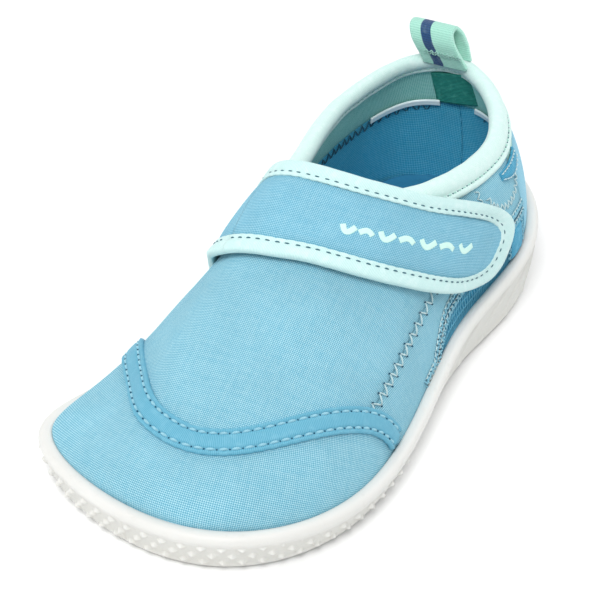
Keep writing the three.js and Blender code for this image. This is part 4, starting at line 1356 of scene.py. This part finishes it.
def strap_rows(s0, s1, tip):
    """Rows of the strap: station along it and the share of its width the binding takes."""
    if not tip:
        s = np.linspace(s0, s1, max(int((s1 - s0) * 150), 4))
        return s, np.full_like(s, INSET)
    s = np.linspace(s0, TURN, int((TURN - s0) * 150))
    theta = np.linspace(0, PI / 2 * 0.985, 44)[1:]
    s_tip = 1 - INSET * TIP_SHARE
    return (np.concatenate([s, mix(TURN, s_tip, np.sin(theta) ** ROUNDING)]),
            np.concatenate([np.full_like(s, INSET),
                            0.5 - (0.5 - INSET) * np.cos(theta) ** ROUNDING]))


def strap_top(s, v):
    width = np.clip((v - INSET) / (1 - 2 * INSET), 0, 1)
    crown = 0.4 * (1 - (2 * width - 1) ** 4)
    near = np.exp(-np.minimum(width, 1 - width) * CANVAS_WIDTH / 1.2)
    return CORE_HIGH - strap_drop(s, v) + crown - 0.45 * near


def strap_swell(P):
    return 0.22 * ripple(P, RIPPLE_SIZE, RIPPLE_SEED)


def strap_canvas(name, s0, s1, tip):
    s, inset = strap_rows(s0, s1, tip)
    f = np.linspace(0, 1, 41)
    S = np.repeat(s[:, None], len(f), 1)
    V = inset[:, None] + (1 - 2 * inset[:, None]) * f[None, :]
    base = strap_point(S, V, np.zeros(S.shape))
    upper = strap_point(S, V, strap_top(S, V) + strap_swell(base))
    under = strap_point(S, V, CORE_LOW - strap_drop(S, V))
    P = np.concatenate([upper, under[:, ::-1]], 1)
    mid_s = np.linspace(0, 1, 400)
    run = run_length(strap_point(mid_s, 0.5, np.full(400, CORE_HIGH)))
    along = np.interp(S, mid_s, run)
    across = (V - 0.5) * STRAP_WIDTH
    along = np.concatenate([along, along[:, ::-1], along[:, :1]], 1)
    across = np.concatenate([across, across[:, ::-1] + 30, across[:, -1:] + 30.5], 1)
    # painted shade: the canvas darker near its bindings, where it dips under them
    shaded_and_faded = np.exp(-np.minimum(f, 1 - f) * CANVAS_WIDTH / 1.6)
    values = np.repeat(np.concatenate([shaded_and_faded, shaded_and_faded[::-1]])[None], len(s), 0)
    return loft(name, P, np.stack([along, across], -1), STRAP_CANVAS, values=values)


def rail_run(part, f):
    """(s, v) along a binding: part is front, rear or round for the whole tip."""
    inset = f * RAIL_SHARE
    if part != "round":
        s = np.linspace(0, STRAP_CUT, 90)
        return s, np.full_like(s, inset if part == "front" else 1 - inset)
    s = np.linspace(STRAP_CUT, TURN, 130)
    theta = np.linspace(0, PI, 92)[1:-1]
    s_tip = 1 - inset * TIP_SHARE
    c = np.cos(theta)
    x = np.sign(c) * np.abs(c) ** ROUNDING
    return (np.concatenate([s, mix(TURN, s_tip, np.sin(theta) ** ROUNDING), s[::-1]]),
            np.concatenate([np.full_like(s, inset), 0.5 - (0.5 - inset) * x,
                            np.full_like(s, 1 - inset)]))


RAIL = [
    (0.0, 2.75), (0.03, 3.35), (0.12, 3.8), (0.28, 4.0), (0.5, 4.02), (0.7, 3.93), (0.86, 3.72),
    (0.98, 3.86), (1.1, 3.9), (1.16, 3.62), (1.1, 3.0), (0.8, 2.3), (0.5, 1.95), (0.25, 1.85),
    (0.08, 1.95), (0.02, 2.3),
]


def strap_binding(name, part):
    f_ring, off_ring = rounded(RAIL, 34)
    S, V = (np.stack(c, 1) for c in zip(*(rail_run(part, max(f, 0.0)) for f in f_ring)))
    P = strap_point(S, V, off_ring[None, :] - strap_drop(S, V))
    outer = P[:, np.argmin(f_ring)]
    run = run_length(outer)
    frill = 0.16 * np.abs(np.sin(run * PI / 2.5))[:, None] * (f_ring > 1.0)[None, :]
    inwards = unit(P[:, np.argmax(f_ring)] - outer)
    P = P + inwards[:, None] * frill[..., None]
    P = P + unit(P - P.mean(1, keepdims=True)) * (0.06 * ripple(P, 5.0, 92))[..., None]
    uv = np.stack(np.meshgrid(run, np.linspace(0, 12, len(f_ring) + 1), indexing="ij"), -1)
    return loft(name, P, uv, BINDING)


def strap_line(s, v, lift):
    """A path on the strap, lift millimetres off the last before the strap settles."""
    k, a = strap_plain(s, v)
    N = last_normal(k, a)
    return trail(last(k, a) + N * (lift - strap_drop(s, v))[:, None], N)


def wave_print():
    """A row of small rounded ripples, alternately humps and hollows."""
    marks = []
    for n in range(7):
        x = np.linspace(0, 1, 40)
        s = 0.575 + n * 0.047 + (x - 0.5) * 0.034
        height = 0.04 if n % 2 else -0.07
        v = 0.43 + 0.012 * n + height * (np.sin(x * PI) - 0.5)
        swell = strap_swell(last(*strap_plain(s, v)))
        path = strap_line(s, v, strap_top(s, v) + strap_drop(s, v) + swell)
        marks.append(band(f"mark_{n}", path, 1.5, 0.13, -0.12, PRINT, spacing=0.25, rows=9))
    return marks


HINGES = {j["name"]: np.array(j["axis"], float) for j in frame["joints"]}
LOWER = ("shoe", "strap", "strap_swing", HINGE_A, 5.0)
UPPER_PART = ("strap", "strap_end", "strap_peel", HINGE_B, 7.0)


def bend(obj, part, slot, *nodes):
    """Bakes a strap piece's transform and hides the CAD nodes it stands for; the hinge direction is
    worked out but not used.
    """
    first, second, joint, s_at, reach = part
    axis = unit(HINGES[joint])
    here, there = strap_point(np.array([s_at, s_at + 0.02]), 0.5, np.full(2, CORE_HIGH))
    way = there - here
    way = unit(way - axis * np.dot(way, axis)) * reach * MM
    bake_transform(obj)
    if nodes:
        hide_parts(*nodes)


bend(strap_canvas("strap_base_canvas", 0.0, STRAP_CUT, False), LOWER, "sky_canvas",
     "strap_anchor", "strap_mid")
bend(strap_canvas("strap_end_canvas", STRAP_CUT, 1.0, True), UPPER_PART, "sky_canvas",
     "strap_tip", "strap_mid")
for part in ("front", "rear"):
    bend(strap_binding("strap_base_binding_" + part, part), LOWER, "mint_binding",
         "strap_anchor_bind_" + part, "strap_mid_bind_" + part)
bend(strap_binding("strap_end_binding", "round"), UPPER_PART, "mint_binding", "strap_tip_bind",
     "strap_mid_bind_front", "strap_mid_bind_rear")


def binding_row(part, seed):
    path = strap_line(*rail_run(part, 0.9), 3.75)
    # the dark stitches are partly painted shade of their needle holes
    return running(part + "_row", path, 2.5, 0.6, STITCH, DARK_THREAD_AND_HOLE_SHADE, seed=seed)


bend(together("strap_base_stitches", [binding_row("front", 94), binding_row("rear", 95)], None),
     LOWER, "mint_binding")
bend(together("strap_end_stitches", [binding_row("round", 96)], None), UPPER_PART, "mint_binding")
bend(together("strap_print", wave_print(), None), UPPER_PART, "mint_binding")


# ---------------------------------------------------------------- hook and loop fastener
def pad(name, s_span, v_span, low, high, material, peak, size, seed):
    """A fastener tape: tufts rise from its top, or hang from its underside where peak is negative."""
    n, m = 70, 60
    S, V = np.meshgrid(np.linspace(*s_span, n), np.linspace(*v_span, m), indexing="ij")
    fuzz = np.random.default_rng(seed).uniform(0, 1, S.shape)
    i, j = np.indices(S.shape)
    tuft = np.abs(np.sin(PI * i / size)) * np.abs(np.sin(PI * j / size))
    to_edge = np.minimum.reduce([i, n - 1 - i, j, m - 1 - j])
    grow = peak * np.clip(to_edge / 3, 0, 1) * (0.5 * tuft + 0.5 * fuzz * tuft)
    upper = strap_point(S, V, high + np.maximum(grow, 0))
    under = strap_point(S, V, low + np.minimum(grow, 0))
    P = np.concatenate([upper, under[:, ::-1]], 1)
    uv = np.stack(np.indices((n, 2 * m + 1)), -1) * 0.3
    return loft(name, P, uv, material)


own(pad("loop_tape_pile", (0.76, 0.92), (0.12, 0.62), 0.1, 0.45, LOOP_PILE, 0.35, 2.2, 97),
    "shoe", "loop_tape", "strap_loop_pad")
bend(pad("hook_tape_field", (0.79, 0.94), (0.16, 0.6), 0.95, 1.3, HOOK, -0.3, 2.0, 98),
     UPPER_PART, "hook_tape", "strap_hook_pad")


# ---------------------------------------------------------------- pull loop
def catmull(points, count):
    points = np.asarray(points, float)
    n = len(points)
    out = []
    for x in np.linspace(0, n - 1, count):
        i = min(int(x), n - 2)
        f = x - i
        p0, p1 = points[max(i - 1, 0)], points[i]
        p2, p3 = points[i + 1], points[min(i + 2, n - 1)]
        v0, v1 = (p2 - p0) / 2, (p3 - p1) / 2
        out.append((2 * p1 - 2 * p2 + v0 + v1) * f**3 + (-3 * p1 + 3 * p2 - 2 * v0 - v1) * f**2
                   + v0 * f + p1)
    return np.array(out)


def pull_loop():
    root = place(HEEL, mouth_angle(HEEL), 0.0)
    y, z, tall = root[1], root[2], LOOP_HEIGHT
    path = [
        (y - 0.4, z + 0.3), (y + 0.3, z + LOOP_FOOT), (y + 0.75, z + 0.46 * tall),
        (y + 0.65, z + 0.74 * tall), (y - 0.7, z + 0.96 * tall), (y - 2.5, z + tall),
        (y - 4.4, z + 0.93 * tall), (y - 5.55, z + 0.7 * tall), (y - 5.45, z + 0.45 * tall),
        (y - 4.9, z + LOOP_FOOT - 0.2), (y - 4.0, z - 0.8),
    ]
    line = catmull(path, 150)
    way = unit(np.gradient(line, axis=0))
    normal = np.stack([-way[:, 1], way[:, 0]], -1)
    x = np.linspace(-1, 1, 27)
    selvedge = 0.5 - 0.16 * np.abs(x) ** 10 + 0.05 * np.exp(-((np.abs(x) - 0.93) / 0.04) ** 2)
    cross = np.concatenate([x, x[::-1]])
    height = np.concatenate([-selvedge, selvedge[::-1]])
    lean = LOOP_TILT * np.maximum(line[:, 1] - z, 0)
    wobble = 0.18 * np.sin(np.linspace(0, 9, len(line)))
    P = np.zeros((len(line), len(cross), 3))
    P[..., 0] = root[0] + cross[None] * LOOP_WIDTH / 2 - lean[:, None] + wobble[:, None]
    P[..., 1] = line[:, :1] + normal[:, :1] * height[None] * LOOP_THICK
    P[..., 2] = line[:, 1:] + normal[:, 1:] * height[None] * LOOP_THICK
    width = (np.append(cross, cross[0]) + 1) / 2 * LOOP_WIDTH
    uv = np.stack(np.meshgrid(run_length(line), width, indexing="ij"), -1)
    own(loft("pull_loop_webbing", P, uv, WEBBING), "shoe", "mint_binding", "pull_loop")
    tacks = []
    for n, index in enumerate((124, 130)):
        out = -normal[index]
        xs = np.linspace(-1, 1, 15) * (LOOP_WIDTH / 2 - 1.0) + root[0]
        up = np.where(np.arange(15) % 2 == 0, 0.5, -0.5)[:, None]
        yz = line[index] + out * (LOOP_THICK / 2 + 0.1) + way[index] * up
        pts = np.column_stack([xs, yz])
        N = np.repeat([[0, *out]], 14, 0)
        tacks.append(threads(f"tack_{n}", pts[:-1], pts[1:], N, STITCH, THREAD_MINT, arch=0.4))
    together("pull_loop_bar_tacks", tacks, "shoe", "mint_binding")


pull_loop()


# ---------------------------------------------------------------- footbed and board
def footbed():
    inset = LIP + UPPER + LINING + 0.6 + 0.8
    k, c = np.meshgrid(np.linspace(0.02, 6.98, 150), np.linspace(0, 1, 61), indexing="ij")
    P = mix(edge(k, inset), edge(-k, inset), c[..., None])
    side = np.minimum(c, 1 - c)
    rim = np.exp(-side * 12)
    P[..., 2] = floor_height(k) + 3.7 - 0.5 * (1 - rim) + 0.5 * rim
    x, y = P[..., 0], P[..., 1]
    dot = np.cos(x * 2 * PI / 4) * np.cos(y * 2 * PI / 4)
    P[..., 2] -= 0.35 * smooth(dot, 0.55, 0.9) * (side > 0.1)
    normal = np.cross(P[1, 30] - P[0, 30], P[0, 31] - P[0, 30])
    obj = make("footbed_foam_pad", P, grid_faces(*P.shape[:2])[0], material=FOAM,
               flip=normal[2] < 0)
    thicken(obj, 1.8)
    own(obj, "shoe", "footbed_foam", "footbed")


footbed()
board = frame["nodes"]["strobel_board"]
board.data.materials.clear()
board.data.materials.append(BOARD)


# ---------------------------------------------------------------- sole
def sole_profile(rim):
    """(inset, height) from the tread's edge over the wall and lip into the cup."""
    z = lambda x: np.full_like(rim, x)
    return [
        (5.0, z(0.0)), (4.2, z(0.05)), (3.5, z(0.35)), (3.0, z(0.9)), (2.6, z(1.6)),
        *[(mix(2.35, 0.6, f ** 0.8), mix(2.4, rim - 3.3, f)) for f in np.linspace(0, 1, 44)],
        (0.52, rim - 3.0), (0.38, rim - 2.75), (0.2, rim - 2.5), (0.06, rim - 2.1),
        (0.0, rim - 1.6), (0.06, rim - 1.1), (0.3, rim - 0.6), (0.75, rim - 0.2),
        (1.3, rim), (2.0, rim + 0.02), (2.7, rim - 0.05), (LIP - 0.2, rim - 0.25),
        (LIP + 0.12, rim - 0.7), (LIP + 0.12, rim - 2.6),
    ]


def nubs(around, z, t):
    """Staggered rows of small four-sided studs round the toe."""
    height = np.zeros_like(z)
    for row in range(NUB_ROWS):
        z_row = 3.0 + row * NUB_ROW_PITCH
        half = NUB_PITCH / 2
        cell = np.mod(around + (row % 2) * half, NUB_PITCH) - half
        d = np.abs(cell / 1.35) + np.abs((z - z_row) / 1.3)
        height = np.maximum(height, np.clip(1.3 * (1 - d), 0, 1))
    return height * smooth(-np.abs(t - TOE), -2.75, -2.45)


def outsole():
    n = 1300
    dense = np.linspace(0, 2 * TOE, 8001)
    run = run_length(edge(dense, 0)[:, :2])
    t = np.interp(np.arange(n) / n * run[-1], run, dense)
    around = np.interp(t, dense, run) - np.interp(TOE, dense, run)
    rim = edge(t, 0)[:, 2]
    on_side = smooth(np.abs(t - TOE), 3.3, 4.0)
    rings, shaded_and_faded = [], []
    for inset, z in sole_profile(rim):
        stud = nubs(around, z, t)
        wall = smooth(z, 1.5, 3.0) * (1 - smooth(z - rim, -3.6, -2.9))
        mould = 0.25 * np.exp(-(around / 0.35) ** 2) * wall
        wave = np.sin(2 * PI * (around / 13 + 0.5 * np.sin(z * 0.3)))
        curve = 0.45 * on_side * wall * np.clip((wave - 0.7) / 0.3, 0, 1)
        P = edge(t, inset - 0.9 * stud * wall - mould - curve)
        P[:, 2] = z
        rings.append(P)
        # painted shade: the wall under the lip darker, the stud tops left light
        shaded_and_faded.append(0.55 * wall * (1 - stud))
    P = np.stack(rings, 0)
    m = len(rings)
    faces = grid_faces(m, n, wrap_j=True)[0].tolist()
    half = n // 2

    def tread(inner, f):
        x, y = inner[..., 0], inner[..., 1]
        margin = smooth(np.minimum(f, 1 - f)[None, :] * 70, 3.0, 5.0)
        bars = np.mod(y + 4 * np.abs(np.sin(x * PI / 18)), 7.0)
        groove = np.exp(-((bars - 3.5) / 0.75) ** 4)
        waist = smooth(y, -10, -2) * (1 - smooth(y, 32, 40))
        slot = np.exp(-((np.mod(x, 12.0) - 6.0) / 0.8) ** 4) * (1 - waist)
        return 1.4 * np.maximum(groove * (1 - waist), 0.8 * slot) * margin + 1.6 * waist * margin

    across = 110
    f = np.linspace(0, 1, across + 1)[1:-1]
    under = mix(P[0, 1:half, None], P[0, ::-1][:half - 1, None], f[None, :, None])
    under[..., 2] = tread(under, f)

    def index(i, c):
        """Point c across row i of the tread, whose ends lie on the lowest ring."""
        if c == 0:
            return i + 1
        if c == across:
            return n - 1 - i
        return m * n + i * (across - 1) + c - 1

    for c in range(across):
        faces.append([index(0, c + 1), index(0, c), 0])
        faces.append([index(half - 2, c), index(half - 2, c + 1), half])
        for i in range(half - 2):
            faces.append([index(i, c + 1), index(i + 1, c + 1), index(i + 1, c), index(i, c)])

    bottom = P[m - 1].copy()
    bottom[:, 2] = floor_height(np.where(t > TOE, 2 * TOE - t, t))
    top = (m - 1) * n
    base = m * n + under.shape[0] * under.shape[1]
    for i in range(n):
        j = (i + 1) % n
        faces.append([top + i, base + i, base + j, top + j])
    faces.append([base, base + 1, base + n - 1])
    for i in range(1, half - 1):
        faces.append([base + i, base + i + 1, base + n - i - 1, base + n - i])
    faces.append([base + half - 1, base + half, base + half + 1])
    points = np.concatenate([P.reshape(-1, 3), under.reshape(-1, 3), bottom])
    # darkening values: painted shade on the wall, 0.4 over the tread underside, none on the cup floor
    painted_shade = np.concatenate([np.ravel(shaded_and_faded), np.full(base - m * n, 0.4), np.zeros(n)])
    sole = face_outwards(make("sole", points, faces, material=RUBBER, values=painted_shade))
    own(sole, "shoe", "white_sole", "outsole")


outsole()

# ---------------------------------------------------------------- stage, light and camera
TARGET = Vector((0.0, 0.0, 0.025))
DISTANCE = 0.455
AZIMUTH = math.radians(28.0)
ELEVATION = math.radians(34.5)
SENSOR = 36.0
LENS = 107.7
FRAME_SHIFT = (-0.03833, -0.03333)


def floor():
    mesh = bpy.data.meshes.new("studio_floor")
    r = 2.0
    mesh.from_pydata([(-r, -r, 0), (r, -r, 0), (r, r, 0), (-r, r, 0)], [], [(0, 1, 2, 3)])
    obj = bpy.data.objects.new("studio_floor", mesh)
    bpy.context.scene.collection.objects.link(obj)
    m = Nodes("studio_paper", roughness=0.9, specular=0.1)
    grain = m.noise(m.solid(), 0.02, 2.0)
    mesh.materials.append(m.finish(m.blend(grain, (0.95, 0.95, 0.945, 1), (0.98, 0.98, 0.975, 1))))


def area(name, where, size, power):
    data = bpy.data.lights.new(name, "AREA")
    data.shape = "DISK"
    data.size = size
    data.energy = power
    obj = bpy.data.objects.new(name, data)
    obj.location = where
    obj.rotation_euler = (Vector((0, 0, 0.03)) - Vector(where)).to_track_quat("-Z", "Y").to_euler()
    bpy.context.scene.collection.objects.link(obj)


bpy.context.scene.view_settings.view_transform = "Standard"
floor()
area("key_softbox", (0.2, -0.7, 1.2), 0.6, 9.5)
area("fill_softbox", (-0.9, -0.5, 0.7), 0.8, 2.5)
area("back_softbox", (0.3, 1.0, 0.9), 0.8, 4.0)
world = bpy.data.worlds.new("studio")
bpy.context.scene.world = world
world.use_nodes = True
world.node_tree.nodes["Background"].inputs[0].default_value = (0.95, 0.97, 1.0, 1)
world.node_tree.nodes["Background"].inputs[1].default_value = 0.64

camera_data = bpy.data.cameras.new("photo_camera")
camera_data.sensor_fit = "HORIZONTAL"
camera_data.sensor_width = SENSOR
camera_data.lens = LENS
camera_data.shift_x, camera_data.shift_y = FRAME_SHIFT
camera_data.clip_start = 0.01
camera = bpy.data.objects.new("photo_camera", camera_data)
camera.location = TARGET + DISTANCE * Vector((
    math.sin(AZIMUTH) * math.cos(ELEVATION),
    -math.cos(AZIMUTH) * math.cos(ELEVATION),
    math.sin(ELEVATION)))
camera.rotation_euler = (TARGET - camera.location).to_track_quat("-Z", "Y").to_euler()
bpy.context.scene.collection.objects.link(camera)
bpy.context.scene.camera = camera

bpy.context.view_layer.update()
